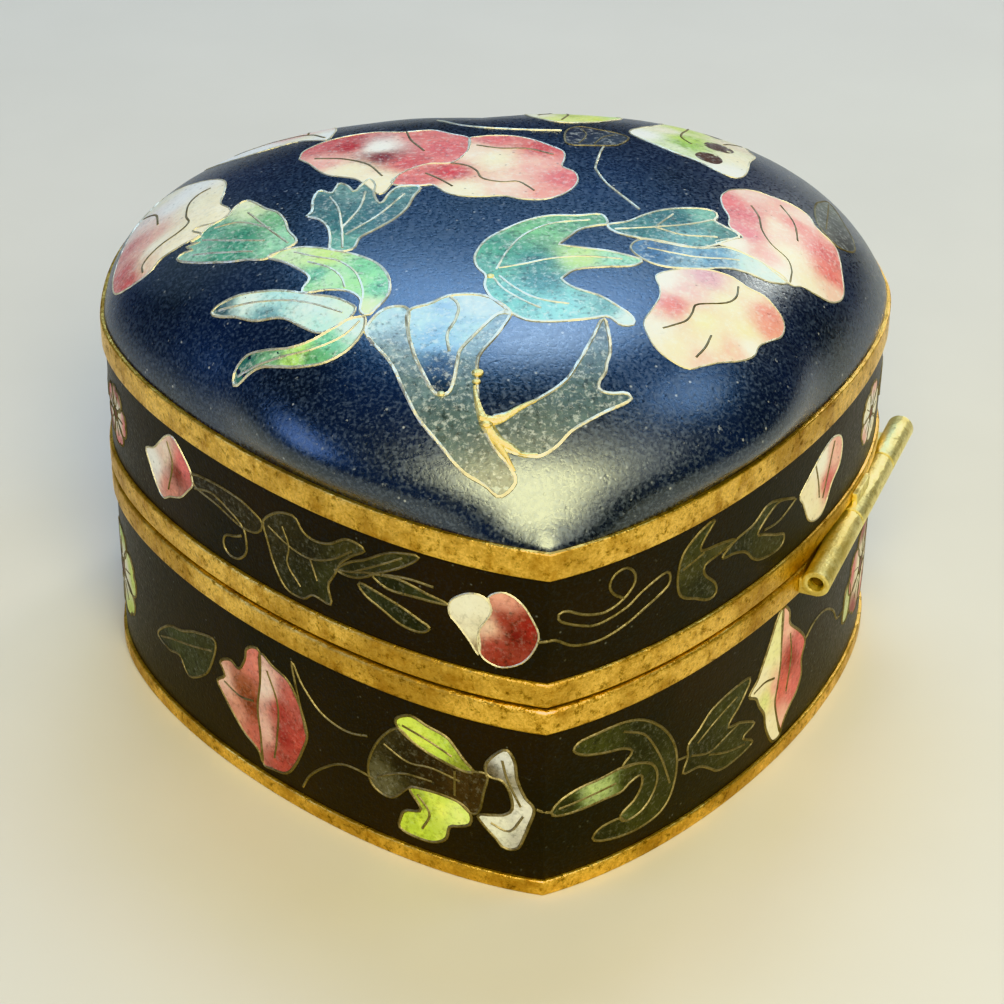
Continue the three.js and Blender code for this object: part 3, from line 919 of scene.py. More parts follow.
dome.cell(
    "-13,-9.2 -12.9,-8 -13,-6.2 -13.6,-4.8 -14.4,-4.2 -14,-3.5 -13.9,-2 -13.6,-0.8 -13.2,-0.3 -12.5,-1 "
    "-12.1,-0.2 -11.8,0.5 -11.2,-0.2 -10.8,-1.2 -10.2,-0.2 -9.6,0.7 -9.2,-0.4 -9.4,-2 -9,-3.5 -8.3,-2 "
    "-7.5,-1 -6.3,-1 -6,-1.5 -6.6,-2.8 -7.2,-4.5 -8.2,-6 -9.5,-7.2 -10.8,-8.3 -11.3,-9.6 -12.2,-9.8",
    {(-13.4, -2): (62, 96, 104), (-11.8, -1): (96, 132, 132), (-11.6, -6): (50, 96, 98),
     (-7.4, -2): (76, 116, 118), (-9.4, -5.5): (56, 96, 104), (-12.2, -9): (90, 148, 132)},
    "-12.1,-9.4 -12,-6.5 -12.1,-3.6 -12.6,-1.6", "-12,-6.6 -10.6,-4 -10,-1.4",
    "-11.8,-7.6 -9.4,-5.4 -7.2,-2.2", tone="pale")
dome.report()

# %% [markdown]
# **Back flowers.** The big double flower is one red-pink petal folded over a paler one, with cream at
# the edges and brown wires in the folds. A cream and pink one hangs over the left shoulder, and a white
# one sits on the left lobe.

# %% Double flower, shoulder flower, lobe flower
dome.cell(
    "-14.5,7 -14.2,8.3 -13.3,9.3 -12.3,10 -10.6,10.5 -8.6,10.4 -6.4,9.6 -4.4,9.5 -2.9,8.3 -1.6,7 -2,4.5 "
    "-3.3,2.6 -5,2.6 -6.5,1.8 -7.5,0.8 -8,-0.5 -9,-2 -10.5,0.8 -12.5,2.2 -13.2,3.3 -13.8,5 -14.5,6.5",
    {(-13, 9): ROSE, (-11, 10.4): (190, 70, 76), (-8.5, 6.6): WHITE, (-8.4, 4.6): (120, 40, 44),
     (-5, 8.6): (214, 120, 118), (-4, 5.6): ROSE, (-12.6, 5): BLUSH, (-11, 2.6): CREAM, (-8.8, 0): CREAM,
     (-6.6, 3): (198, 90, 92), (-10.6, 7.4): (176, 56, 62)}, "-13.4,6 -11.4,5 -9.6,3.4 -8.6,1",
    "-6.2,9.6 -6,7.4 -5.2,5", rim=PETAL_RIM)
dome.cell(
    "-1.6,7 -1,7.3 0,7.5 1.5,7.3 3,6.5 4.2,5.3 5.2,4 5.1,2.5 4.8,1.3 5.6,0.3 5.7,-1 5.2,-2.3 4.2,-3.4 2.8,-4 "
    "1.2,-3.8 0,-3.2 -1.5,-3.2 -3,-3 -4.2,-2.3 -5,-1 -6,-1 -8,-0.5 -7.5,0.8 -6.5,1.8 -5,2.6 -3.3,2.6 -2,4.5",
    {(0.4, 6.6): ROSE, (3.6, 4.6): (196, 84, 86), (0, 3): CREAM, (2.6, 2): BLUSH, (4.8, -0.8): ROSE,
     (3, -3): (226, 150, 140), (-3.5, 1): (186, 60, 64), (-3, -2): CREAM, (-6.2, 0.2): (206, 110, 106),
     (-1.5, 4.4): (236, 214, 196), (0.4, -2): (238, 206, 190)},
    "-3.4,2.5 -2.3,2 -1.6,1 -1.3,-0.3 0,-1 1.2,-1 1.8,-1.7 2.3,-2.6", "-1.2,5.6 0.6,4.8 2.6,4.6 4.4,3.4",
    "-5.4,1 -4.4,-0.2 -3.6,-1.4", rim=PETAL_RIM)
dome.cell(
    "-26,11.5 -25,12.5 -23.5,11.5 -22.3,10 -21,8.3 -20.2,6.5 -20.3,4 -20.6,2 -20,0.5 -20,-0.8 -21.5,-1.5 "
    "-22.5,-2.2 -25,-2.3 -26,-3 -27.5,-2.5 -28.6,-1.3 -28.9,0.5 -28.8,3 -28.2,6 -27.4,9",
    {(-25, 11): CREAM, (-22.4, 8.4): WHITE, (-21.2, 4): CREAM, (-26.2, 5.9): (236, 206, 190),
     (-24.4, 6.6): WHITE, (-22.3, 3.9): (242, 236, 206), (-27.6, 4.2): (206, 120, 116),
     (-28.2, 0.5): (196, 88, 90), (-26.2, 2.4): (226, 168, 156), (-25.4, 0.4): (240, 232, 206),
     (-24.4, -1.9): (242, 234, 206), (-23, 0.3): CREAM, (-26.2, -1.2): (232, 206, 180),
     (-27.6, -1.6): (186, 74, 80), (-21.2, 0.4): CREAM},
    "-21.3,6.3 -22.3,6 -23,4.8 -23.2,2.5 -23,1 -23.7,0.2 -25.5,-0.3 -26.5,-1.2 -26.5,-2.3",
    "-26.6,9.6 -25.6,7.4 -25.4,4.4", rim=PETAL_RIM)
dome.cell(
    "-12.3,10.4 -13.2,11 -14.3,12 -16,12.2 -18,12.3 -19.6,13 -21,14.4 -21.8,16.2 -21,18 -19.6,19.4 "
    "-17.5,20.2 -15,20.2 -13,19.6 -11.8,18 -11.4,15.8 -11.5,13.4 -11.9,11.4",
    {(-20, 16): WHITE, (-16, 18.6): CREAM, (-12.4, 12): WHITE, (-14.6, 15.2): BLUSH, (-17.6, 13.4): WHITE,
     (-14, 13): CREAM}, "-12.4,11.2 -13.8,14.4 -16.4,16 -19.4,16.4", "-13.6,14.6 -13.4,17.6", rim=PETAL_RIM)
dome.report()

# %% [markdown]
# **Back crest and right lobe.** A lime flower with brown seeds fills the right lobe, a small lime one
# sits by the notch, and between them go a dark bud and bare tendrils. A dark leaf lies low on the right.

# %% Crest, lobe and tendrils
dome.cell(
    "11,8.4 11.2,9.6 12.2,10.8 13.6,12.6 14.6,15 14.6,18 13.6,20 13.2,21.6 14.4,22.4 16.2,22.5 18,22.1 "
    "20,21.1 22,19.6 22.8,18.2 22.4,16.6 21.2,14 20.8,11.6 20.9,9 20,6.4 19.4,4 18.7,2 17.8,1.2 16.6,2 "
    "15.2,3.6 13.6,5 12.2,6.6",
    {(12, 8.6): WHITE, (14, 11): CREAM, (16, 13): LIME, (15.4, 9): (170, 206, 80), (16.6, 19): LIME,
     (14.2, 21.4): CREAM, (20.6, 16): CREAM, (19.6, 11): (226, 208, 180), (14, 6): (214, 226, 190),
     (19, 6): CREAM, (17.8, 2.2): WHITE, (15, 7): (150, 190, 90)},
    "17.8,21.4 16.8,20.2 16.9,17 16.2,13.4 15.3,10.6 15.1,9 15.6,7.6", "20.6,13 19.4,11.4 18.6,10.2",
    rim=PETAL_RIM)
for seed in ("16.7,8.2 17.2,9.5 18.4,9.8 19.1,8.6 18.6,7.3 17.3,7.2",
             "15.4,4.8 16,5.8 17.2,5.7 17.5,4.4 16.8,3.4 15.8,3.8",
             "18.8,20.4 19.8,20.5 21,19.6 20.6,18.9 19.6,19.2",
             "18.4,17.6 19,16 19.2,13.6 18.4,13 17.8,14.6 17.7,16.6"):
    dome.cell(seed, {tuple(np.mean(stroke(seed), axis=0)): (74, 44, 30)}, wire=0)
dome.cell(
    "4.6,11.6 6,10.8 8,11 9.8,12.2 11,14 11.2,16 10.4,18 8.6,19.4 6.4,19 4.8,17.6 3.6,15.6 3.6,13.4",
    {(4.6, 14): CREAM, (7, 14): (180, 196, 60), (8.6, 13.6): (216, 228, 90), (8, 17): (200, 214, 80),
     (10.4, 15): (196, 224, 130), (6, 11.8): (226, 234, 140)}, "6,11.6 6.8,14 7,16.6",
    "4.4,13.6 5.6,15.4 6.2,17.6", rim=PETAL_RIM)
dome.cell(
    "5.8,5.4 5.7,7.2 6.2,8.8 7.2,9.6 8.4,9 9.6,8.4 10.6,7.4 10.2,6.2 9.4,5.4 7.6,5.2",
    {(7, 8): (38, 40, 56), (9, 7): (52, 60, 74)}, "6.6,5.6 7.4,7.4 7.2,9", "7.8,5.6 8.6,7 9.6,7.8", wire=0.12)
dome.cell(
    "23.6,-2.5 23.8,-0.4 24.4,1.9 25.2,3.6 26,5.1 26.4,4.1 26.5,1.3 26.7,-1.7 26.2,-3.6 24.8,-4.6 24,-3.8",
    {(24.2, -1.6): (50, 60, 62), (25.8, 3.6): (64, 72, 62), (25.8, -2.6): (30, 34, 40)},
    "24.2,-2.8 25,0.4 25.9,4.2", wire=0.1)
for tendril in ("-3.6,12.6 -2.6,11.2 -1.6,10.2 0,9.4 3,8.7 5.6,8.5",
                "8.4,5 7.9,3.5 7.3,1.2 7.3,0.5 7.7,-1.5 8.3,-3 9,-4.5 9.6,-5.8"):
    dome.wire(tendril, 0.13, "pale")
dome.report()

# %% [markdown]
# **Right-hand flowers.** A pink flower leans over the right shoulder, and in front of it opens a cream
# one with a scalloped edge and a brown fold.

# %% Shoulder flower and scalloped flower
dome.cell(
    "16,-4.5 16.1,-3 16.6,-2 17.3,-1.3 18.6,-0.7 20,-0.8 22,-1.2 23,-2 23.3,-3.5 24.4,-4.7 24.6,-6 24.4,-8.5 "
    "24.2,-10 23.5,-11.3 22.3,-12.2 20.5,-12.4 19.8,-12.8 18.8,-12.4 17.5,-11.3 16,-10.5 14.5,-10 15.5,-9.3 "
    "16.8,-8.7 16,-7.5 16.2,-6",
    {(16.8, -3.6): (206, 110, 120), (17.3, -8): (204, 112, 132), (18.4, -10.4): (222, 150, 152),
     (19.4, -12): WHITE, (19.8, -6): (234, 206, 190), (20, -9.5): (238, 232, 196), (20.5, -11.6): CREAM,
     (21.6, -4.6): (206, 96, 100), (22.8, -6.8): (196, 80, 88), (23.2, -9.2): (208, 100, 100),
     (23.6, -10.8): (234, 200, 184), (20.4, -2.2): BLUSH, (22.4, -2.6): (236, 206, 196),
     (18.9, -1.8): (232, 196, 190), (15.8, -9.6): WHITE, (17.8, -5.4): (198, 104, 120)},
    "18.3,-3.5 18.6,-5 18.5,-7 18.9,-8.7 19.8,-9.8 20,-11 19.6,-12.6", "20.8,-2 21.4,-4.4 21.2,-7",
    rim=PETAL_RIM)
dome.cell(
    "9.5,-15 10.5,-14.3 12,-13.8 13.5,-13.7 15,-14 16,-14.8 17.2,-15.2 18,-16 18.4,-17 18,-18.3 17,-19.3 "
    "16,-20.3 15.5,-21.3 14.3,-22.2 12.8,-22.8 11.5,-23.4 10.5,-23.8 9.3,-23.3 8.4,-22.3 8,-21 8,-20 "
    "8.7,-18.8 9.4,-17.5 9.6,-16.3",
    {(9.9, -15.2): WHITE, (10.4, -18.2): (206, 112, 110), (13.4, -14.7): MAUVE, (8.7, -21): (222, 220, 208),
     (12.3, -19.5): (238, 234, 190), (17, -16.8): (200, 112, 104), (17, -18.2): (220, 140, 124),
     (14, -21.4): (230, 184, 168), (11.7, -22.8): (228, 196, 180), (16, -15.4): CREAM,
     (15.1, -19.4): (238, 230, 186), (9.9, -22.3): CREAM, (15.4, -20.8): WHITE,
     (11.8, -16.6): (228, 190, 190), (14.4, -17.2): (240, 236, 204), (12.6, -21): CREAM},
    "15.4,-15 15,-16.3 14,-17.2 12,-17.8 11.6,-18.6 11,-19.6 10,-20.2 9.2,-20.6",
    "12.6,-20.6 12,-21.8 11.2,-22.8", rim=PETAL_RIM)
dome.report()

# %% [markdown]
# ** Right-hand leaves.** A teal toothed leaf points to the pink flower over a thin wash of blue glass, whose
# pale blue and near-white touches are partly a painted reflection, and the large centre crescent runs
# from green through teal to clear blue at its tail.

# %% Teal leaf and centre crescent
# Blue glass under the teal leaf: its pale blue and near-white touches are partly a painted reflection of the
# light.
dome.cell(
    "9.5,-10.2 13,-11 15.5,-10.5 18,-11.6 19.4,-12.6 18,-13.4 15.4,-13 13,-13.6 10.6,-13.8 9,-13 8.2,-11.4",
    {(10, -12): (60, 96, 136), (12, -13): (120, 156, 180), (14, -12): (96, 140, 176),
     (17.6, -12.6): (176, 204, 210)}, "9.4,-11.4 12.6,-12.2 16,-11.8", wire=0.12, tone="pale")
dome.cell(
    "7,-8.2 8.5,-7.7 10,-6.6 11.5,-5.8 13.5,-5.3 15,-5.4 15.3,-6.2 15,-7 16.5,-8.5 15.5,-9.5 13,-11 "
    "9.5,-10.2 7.5,-9.3",
    {(8.4, -8.8): (60, 112, 112), (12, -7): (50, 98, 106), (14.6, -6.4): (112, 164, 156),
     (13, -9.6): (100, 150, 160), (15.6, -8.8): (76, 124, 128)}, "7.4,-8.8 10.6,-8.4 13.4,-7.6 15.2,-6.6",
    "10.2,-8.4 12.4,-9.4 14.8,-9.2", "10.6,-8.2 12,-6.4", tone="pale")
dome.cell(
    "6.7,-6.6 5,-6.7 3,-6.6 1.3,-7.2 -0.5,-8.5 -2,-10 -2.9,-12 -2.9,-13.5 -2.4,-14.7 -2.6,-16 -2.2,-17.5 "
    "-1.2,-19 0,-20 2,-20.2 4.5,-19.9 5.5,-19.7 6.3,-20.5 7.2,-20.4 7.2,-19.7 6.5,-18.8 5.3,-17.6 3.5,-16.5 "
    "2.8,-15.5 3,-15.2 4,-14.3 6,-14 8,-13.8 8.8,-13.1 8,-12.6 6.5,-11.9 5,-11.5 3.3,-11 3.2,-10.8 4,-9.8 "
    "5,-8.7 6.3,-8.2 7,-8",
    {(5, -7.4): (96, 150, 118), (1.6, -8.6): (108, 168, 122), (-1, -11): (66, 136, 112),
     (-1.6, -14): (84, 150, 132), (1.4, -13): (54, 118, 112), (4.4, -12.8): (176, 210, 132),
     (7, -13.2): (132, 186, 160), (-0.6, -17): (92, 162, 158), (2.4, -18.6): (116, 180, 184),
     (5.6, -19): (80, 136, 134), (1.4, -15.6): (56, 118, 118), (6.8, -20): ICE},
    "-2,-14.8 -1.3,-16.5 0,-18 1,-18.8", "-1.5,-14.8 -0.8,-16 0.3,-17.3 1.5,-18 3,-18.4",
    "5.8,-7.4 3,-7.8 0.8,-9.4 -0.6,-11.6 -1.6,-14", "-1.4,-13.8 0.4,-13.4 2.4,-12.8 4.8,-12.6 7.4,-13",
    tone="pale")
dome.beads.append((-2.1, -14.8, 0.3))
dome.report()

# %% [markdown]
# **Lid wall.** The wall's wires are duller, because they are harder to polish. In front are a red bud
# with a white petal, scrolls and an olive leaf, with a flower towards each side.

# %% Lid wall
lid_wall.cell(
    "-7.1,23.9 -6,24.8 -5,25 -4.3,24.6 -4.1,23.8 -4.6,22.8 -5,22 -4.9,21 -5,20 -5.7,21 -6.5,22 -7.2,22.8",
    {(-6, 24): (222, 222, 208), (-5.4, 22): (204, 200, 182), (-4.9, 20.6): (150, 136, 116)}, rim=PETAL_RIM)
lid_wall.cell(
    "-4.3,25 -3.2,25.6 -2,25 -1.2,23.8 -0.7,22.5 -1.2,21 -2,20 -3.3,19.4 -4.5,19.7 -5,20.5 -5,22 -4.1,23.8",
    {(-3.2, 25): (204, 146, 136), (-2.3, 22.2): (100, 20, 26), (-3.8, 21): (140, 60, 60),
     (-1.4, 23.2): (128, 34, 38), (-3.4, 20): (124, 48, 46), (-4.5, 22.6): (206, 176, 164),
     (-3.2, 23.4): (128, 50, 50)}, rim=PETAL_RIM)
lid_wall.cell(
    "11,24 11.5,25.3 13,26.3 14.5,26.6 13.4,25.4 13.2,24.6 15.5,24.2 17,23.7 14.8,23.4 13.7,23.2 13.6,22.6 "
    "14,22 14.8,21.2 15.1,20.4 14.8,20 14,20.1 12.8,20.8 11.5,21.5 11,22.5",
    {(12, 23.6): (50, 50, 28), (13.4, 25.4): OLIVE, (13, 21.4): MOSS, (15.4, 23.8): (62, 60, 36)},
    "11.4,23.8 13.5,24.3", wire=0.13)
lid_wall.cell(
    "15.5,22.9 17,22.6 18.3,22 19.2,21 20.3,20.4 22,20.1 23,20.2 23.2,21 22,21.6 20.5,22.4 19.6,23 22,24.3 "
    "24.5,23.4 21,24.8 19,24 17,23.7",
    {(17.4, 23): MOSS, (21, 21): (46, 46, 28), (20.6, 23.8): OLIVE}, wire=0.13)
lid_wall.cell(
    "25.2,23.2 26.5,24.2 27.8,25 29,25.5 30.2,25.6 31.5,25 32,24 31.8,22.5 30.5,21.5 29.8,20.3 29,19.6 "
    "28,19.6 26.9,20.2 26.3,21.2 25.8,22.2",
    {(26.6, 22.6): CREAM, (28.4, 24.4): WHITE, (30.6, 24.4): BLUSH, (29.6, 22): ROSE, (27.8, 20.6): CREAM},
    "27.4,24.6 28,23 28.4,21.4", "30.4,25.2 29.8,23.4 29,21", rim=PETAL_RIM)
lid_wall.cell(
    "-31.4,24.5 -32.3,25.5 -33.5,26.4 -34.5,26 -35.5,25 -36.5,24 -37.8,23.3 -37.3,22.3 -36.5,21 -35.5,20.2 "
    "-34.5,20.8 -33,21.5 -32,22.5 -31.2,23.5",
    {(-36.6, 22.8): WHITE, (-34.8, 24.6): (232, 206, 190), (-33.3, 23.5): BRICK, (-32.4, 24.6): ROSE,
     (-34.6, 21.6): (200, 130, 118)}, "-34.4,25.6 -33.8,24 -34.6,21.4", rim=PETAL_RIM)
lid_wall.cell(
    "-8.7,21.1 -9.5,20.5 -11,20.6 -12.5,21.3 -14,22 -14.5,22.8 -13,22.6 -11,22.1 -9.5,21.5",
    {(-10, 21): MOSS, (-13, 22): (38, 42, 32)}, wire=0.13)
lid_wall.cell(
    "-7.3,23.5 -9,23.9 -11,24.3 -12.8,24.1 -13.3,23.8 -12,23.2 -10,23.3",
    {(-9, 23.7): (40, 44, 32), (-12, 23.8): MOSS}, wire=0.13)
lid_wall.cell(
    "-31.2,24.4 -28.6,24.9 -26,24.9 -24.4,24.5 -23.4,23.9 -24,22.9 -25.7,22.6 -28.4,23.2 -30.9,23.5",
    {(-29, 24): (32, 26, 20), (-25, 23.6): (36, 31, 22)}, wire=0.12)
lid_wall.cell(
    "-23.3,23.9 -23,24.6 -21.7,25.6 -20.2,25.9 -19.4,25 -18.4,24.7 -17,25 -15.4,26 -13.9,25.7 -15,24.8 "
    "-16,23.8 -16.6,22.6 -17.2,21.4 -17,19.9 -18.6,20 -19.6,19.3 -21.2,19.4 -22.3,20.9 -22.9,22.6",
    {(-21.6, 24): (40, 36, 25), (-19, 23.4): (28, 25, 18), (-15, 25.2): (46, 44, 28),
     (-19.6, 20.6): (34, 34, 24), (-17.6, 22): (44, 46, 32)},
    "-22.8,24 -20.8,23.2 -18.8,23 -16.8,23.8 -15,25.2", "-21.4,24.6 -20.8,23.2 -21,21.6 -19.8,20.2",
    "-18.8,23 -18.2,21.4", wire=0.12)
lid_wall.cell(
    "-16.4,23.1 -15.2,24.2 -13.9,24.9 -12.6,25.8 -11.4,26.4 -9.5,26.7 -10.9,25.4 -12.7,24.3 -14.7,23.1",
    {(-15, 23.8): (34, 34, 24), (-11, 26): (48, 48, 32)}, "-14.8,23.6 -12.6,25 -10.8,26.2", wire=0.12)
for line in ("-0.8,22 0.5,22.2 2,21.3 4,21 6,21.4 8,22.2 9.8,23 10.2,23.5 10,24.3 9,24.2 7.5,23.6 6.3,22.9 "
             "4,22.4 2.5,22.8 1,23.6 0.8,24.2 1.5,24.3 2.8,23.6 4.5,23.2 6,23.7 6.9,24.6 6.9,25.5 6.2,26.2 "
             "5.2,26 4.8,25.2 5.2,24.4 6,23.8",
             "-8.4,24.6 -10.6,24.6 -13.4,24 -15.2,23.4 -16.6,23",
             "-31,23.3 -29,23.9 -27,23.4 -25.5,22.6 -25.2,21.5 -25.3,20.5 -26.2,19.6 -27.3,19.5 -27.8,20.2 "
             "-27.5,21 -26.5,21.4 -25.7,21.8",
             "24.6,23.3 22.4,22.6 20.4,22.8"):
    lid_wall.wire(line, 0.12)
lid_wall.report()

# %% [markdown]
# **Base wall.** A dark crescent leaf, a lime and grey flower round a brown heart, and a tall red flower
# on each side.

# %% Base wall
base_wall.cell(
    "2.3,12.2 2.8,12.8 4.5,13 6.5,13 8.3,12.4 10,11 11.2,9.3 11.8,7.5 11.8,5.7 11.3,4 10.3,3 8.5,2.6 6.5,2.7 "
    "4.8,3.1 4.1,3.6 4.8,4.3 6.5,4.4 7,3.9 8.2,4 9,4.5 9.7,5.5 9.9,6.8 9.3,8 8,8.7 6.5,9 7.4,10 6.5,10.7 "
    "5,11 3.2,11.5",
    {(4, 12.2): (48, 52, 30), (8.6, 10.8): MOSS, (11, 6.6): (40, 43, 28), (8.4, 3.4): OLIVE, (5, 3.7): MOSS},
    "6.5,12.2 8.5,11 10,8.5 10.8,6.5 11.2,5.3", wire=0.13)
base_wall.cell(
    "0.6,7.3 1.5,8.2 3,8.7 4.5,8.8 6.5,9 8,8.7 9.3,8 9.9,6.8 9.7,5.5 9,4.5 8.2,4 7,3.9 6.5,4.6 7.8,5.5 "
    "8.4,6.5 8.3,7.5 7.3,7.3 6.5,6.8 5,6.8 3,6.7 1.2,6.8",
    {(2, 7.5): MOSS, (4.2, 8): (150, 170, 120), (7.4, 8): OLIVE, (9, 6.4): (37, 41, 27)},
    "1.2,7.4 3.6,7.6 6,7.8", wire=0.13)
base_wall.cell(
    "13,7.8 14,8.5 15.5,9.7 18,10.2 20,10 19,8.4 17.5,7 19,6.5 21,5.3 19.5,4.8 20.8,3.8 20.5,3.4 18,3.2 "
    "16.5,3.5 15.5,4.3 14.3,5.1 12.6,5.4 13,6.6",
    {(14.4, 7): MOSS, (17.4, 9): (44, 48, 28), (18.4, 4.4): OLIVE, (19, 6): (37, 41, 28)},
    "13.4,6.6 15.5,5.8 17.5,6.2 19,6.5", "14,7.4 16,8.4 18.4,9.2", "15.4,5.6 17.6,4.6 19.8,4", wire=0.13)
base_wall.cell(
    "20,8.3 21,9.2 21.7,10.5 22.5,12 23.2,13.5 24,14 24.1,11 24.2,9 24,7 23.8,5.5 24.4,3.4 25,1.9 24,1.7 "
    "23.3,2.5 22.6,4 22.3,5.3 21.5,6.5 21,7.5",
    {(21.4, 8.6): CREAM, (23, 11): (226, 226, 170), (23.6, 7): BLUSH, (23.6, 3.4): CREAM,
     (22.4, 6.6): (214, 220, 150)}, "20.6,8.2 22,8.4 23.4,8")
base_wall.cell(
    "24,14 25,13.2 25.2,12 27,10.2 28,8.8 27.6,7.3 27.8,5.8 27.2,4.5 26,3.6 25.3,2.7 25,1.9 24.4,3.4 "
    "23.8,5.5 24,7 24.2,9 24.1,11",
    {(24.8, 12): BLUSH, (26, 8.4): (140, 44, 42), (27, 9): ROSE, (26.4, 5): ROSE, (25, 3.6): BLUSH,
     (24.8, 6.6): (206, 100, 96)}, "25.4,11 25.8,8.6 25.4,5.6")
base_wall.cell(
    "36,5.4 36.8,5 37.6,5.8 37.6,7.6 37,8.6 36.2,8 36,6.6",
    {(36.8, 7): (196, 206, 150)})
base_wall.cell(
    "-11.5,12.3 -10.3,13 -9,12.6 -7.5,12.2 -6.8,11.5 -6,10.5 -5.3,9.8 -6,9.6 -7.5,9.9 -9,10.3 -10.2,10.8 "
    "-11.3,11.5",
    {(-10.4, 12.2): LIME, (-8, 11): (180, 206, 90), (-6.2, 10): (120, 130, 60)}, "-11,11.9 -9,11.4 -7,10.6")
base_wall.cell(
    "-11.3,11.5 -10.2,10.8 -9,10.3 -7.5,9.9 -6,9.6 -5.3,9.8 -4.3,9.8 -4.6,8 -4.9,6.4 -5.6,6 -6.5,6.7 -8,6.9 "
    "-9.5,6.8 -10.5,6.5 -12,5 -13.6,5.4 -14,7 -13.4,9 -12.4,10.6",
    {(-9, 8.6): BARK, (-6, 8): (52, 38, 26), (-12.8, 6.6): (92, 90, 76), (-12.8, 9.6): (46, 42, 34),
     (-11, 8.4): (20, 14, 12)}, "-12.6,9.6 -10.6,8.8 -8.6,9 -6.4,8.6", "-13.2,6.4 -11,7.6 -8.6,7.8",
    "-6.8,9.4 -6.8,7.2", wire=0.13)
base_wall.cell(
    "-10.5,6.5 -9.5,6.8 -8,6.9 -6.5,6.7 -5.6,6 -5.6,5 -6.5,4.5 -7.2,4.2 -7.5,3 -8.5,2.3 -10,2.2 -11.3,2.5 "
    "-11.2,3.5 -10.8,4.3 -9.5,4.9",
    {(-8.4, 6): LIME, (-6.4, 5.6): (206, 226, 130), (-10, 3): (176, 200, 80), (-9.6, 5.8): (150, 170, 70)},
    "-9.8,6.2 -8.8,4.8 -9.4,3.2")
base_wall.cell(
    "-4.3,11 -3,12.4 -2.3,11.5 -2.1,10 -1.5,8.5 -0.8,7.6 -1.2,6 -1.5,5 -2,3.8 -3,3.6 -3.6,4.3 -4.5,5.2 -5,6 "
    "-4,6.3 -3,6.6 -2.4,7.3 -2.6,8.7 -3.2,9.6 -4.3,9.8",
    {(-3, 11.4): (196, 200, 206), (-2.6, 9.4): (128, 124, 116), (-2, 7.6): (200, 202, 202),
     (-3.6, 5): (206, 210, 200), (-4.2, 10.2): (84, 76, 66), (-1.8, 4.4): (168, 168, 166)},
    "-3.2,11.4 -2.8,9.8 -1.8,7.6", "-1.6,6.8 -2.6,5.2 -4,5.6")
base_wall.cell(
    "-29.5,7 -28.5,8 -29,9 -27.8,9.8 -26.8,9.5 -26,10.8 -25.8,11.8 -25,12.4 -24.3,12.2 -24.4,9.6 -24.8,7 "
    "-24.6,4.4 -24.5,2 -25,3 -26.5,3.8 -28,5.2 -29,6.3",
    {(-28.6, 7.4): (226, 178, 164), (-26.4, 7.8): (138, 74, 52), (-25.2, 11.2): (204, 120, 112),
     (-25, 4.4): (190, 104, 96), (-27.2, 5.6): (206, 142, 126), (-25.4, 6.6): (124, 58, 44)},
    "-28.6,7.4 -26.8,7 -25.2,7.4")
# The whitish-pink touches down the inner edge of this right petal are a painted highlight on the red glass.
base_wall.cell(
    "-24.3,12.2 -23,11.7 -21.5,11.2 -20.6,10 -20,8.5 -19.7,7 -20.2,5.5 -21,3.7 -22,2.4 -23.5,2 -24.5,2 "
    "-24.6,4.4 -24.8,7 -24.4,9.6",
    {(-24, 9.4): (232, 204, 196), (-24.2, 5.4): (226, 180, 170), (-22.4, 8): (156, 60, 62),
     (-21.2, 9.6): (176, 92, 90), (-22.4, 3.4): (160, 72, 72), (-20.6, 6.4): (168, 72, 72),
     (-22.2, 5.6): (142, 44, 50)}, "-23.6,11 -22.6,8.4 -22.8,5.4 -23.2,3.2")
base_wall.cell(
    "-29.5,10.5 -32,10 -34,9 -36,8.3 -38,6.4 -36.2,6 -34.6,6.4 -33.4,5.2 -31.6,6.2 -30.4,7.6",
    {(-31, 9): OLIVE, (-35, 7.6): (46, 54, 32), (-37.2, 6.6): MOSS, (-32, 6.8): (50, 56, 42)},
    "-30,9.4 -32.6,8.4 -35.4,7.4 -37.4,6.5", wire=0.13)
for line in ("-19.8,7.2 -21,13 -20,11.5 -18.5,10 -17,9.4 -15.5,9.3 -14,9.7",
             "-20.3,2 -19.5,3.5 -18,5 -16.5,6 -15,6.2 -13.5,6",
             "28,8.8 29.6,9.6 31.6,9.4 33.4,8.2 34.4,6.8 36,6.6", "0.6,7.3 -0.6,7.6", "11.8,7 13,6.8"):
    base_wall.wire(line, 0.12)
base_wall.report()

# %% [markdown]
# **Back of the walls.** The same flowers and leaves go on round the sides and the lobes. Two small
# traditional motifs, a five-petalled blossom and a pair of leaves on a scroll, are drawn once and
# repeated along each wall, turned and coloured a little differently each time.

# %% Sides and back of the walls
PETAL = stroke("0.22,-0.1 0.5,-0.42 0.85,-0.42 1,-0.12 0.94,0.02 1,0.16 0.83,0.44 0.48,0.4 0.22,0.1")
TOOTHED = stroke("0,0 0.35,0.3 0.8,0.42 1.1,0.7 1.3,0.5 1.7,0.55 1.6,0.3 2,0.1 1.5,0 1,-0.06 0.5,-0.08")
WALL_WIRE, SCROLL_WIRE = 0.13, 0.12
LID_ROW, BASE_ROW = 22.9, 7.8  # the height of the blossoms' middles on each wall
LID_PITCH, BASE_PITCH = 10.4, 13.2  # from one blossom to the next


def written(points):
    return " ".join(f"{x:.3f},{y:.3f}" for x, y in points)


def blossom(panel, u, z, size, colours, turn):
    """A five-petalled blossom round a small brown eye."""
    for petal in range(5):
        angle = turn + petal * math.tau / 5
        cos, sin = size * math.cos(angle), size * math.sin(angle)

        def at(out, side):
            return u + out * cos - side * sin, z + out * sin + side * cos

        panel.cell(written(at(*p) for p in PETAL), {at(0.85, 0): colours[petal % 2], at(0.35, 0): colours[2]},
                   written([at(0.3, 0), at(0.7, 0)]), wire=WALL_WIRE)
    ring = [(u + size * 0.2 * math.cos(k), z + size * 0.2 * math.sin(k))
            for k in (0, 1.05, 2.1, 3.14, 4.2, 5.24)]
    panel.cell(written(ring), {(u, z): BRICK}, wire=WALL_WIRE)


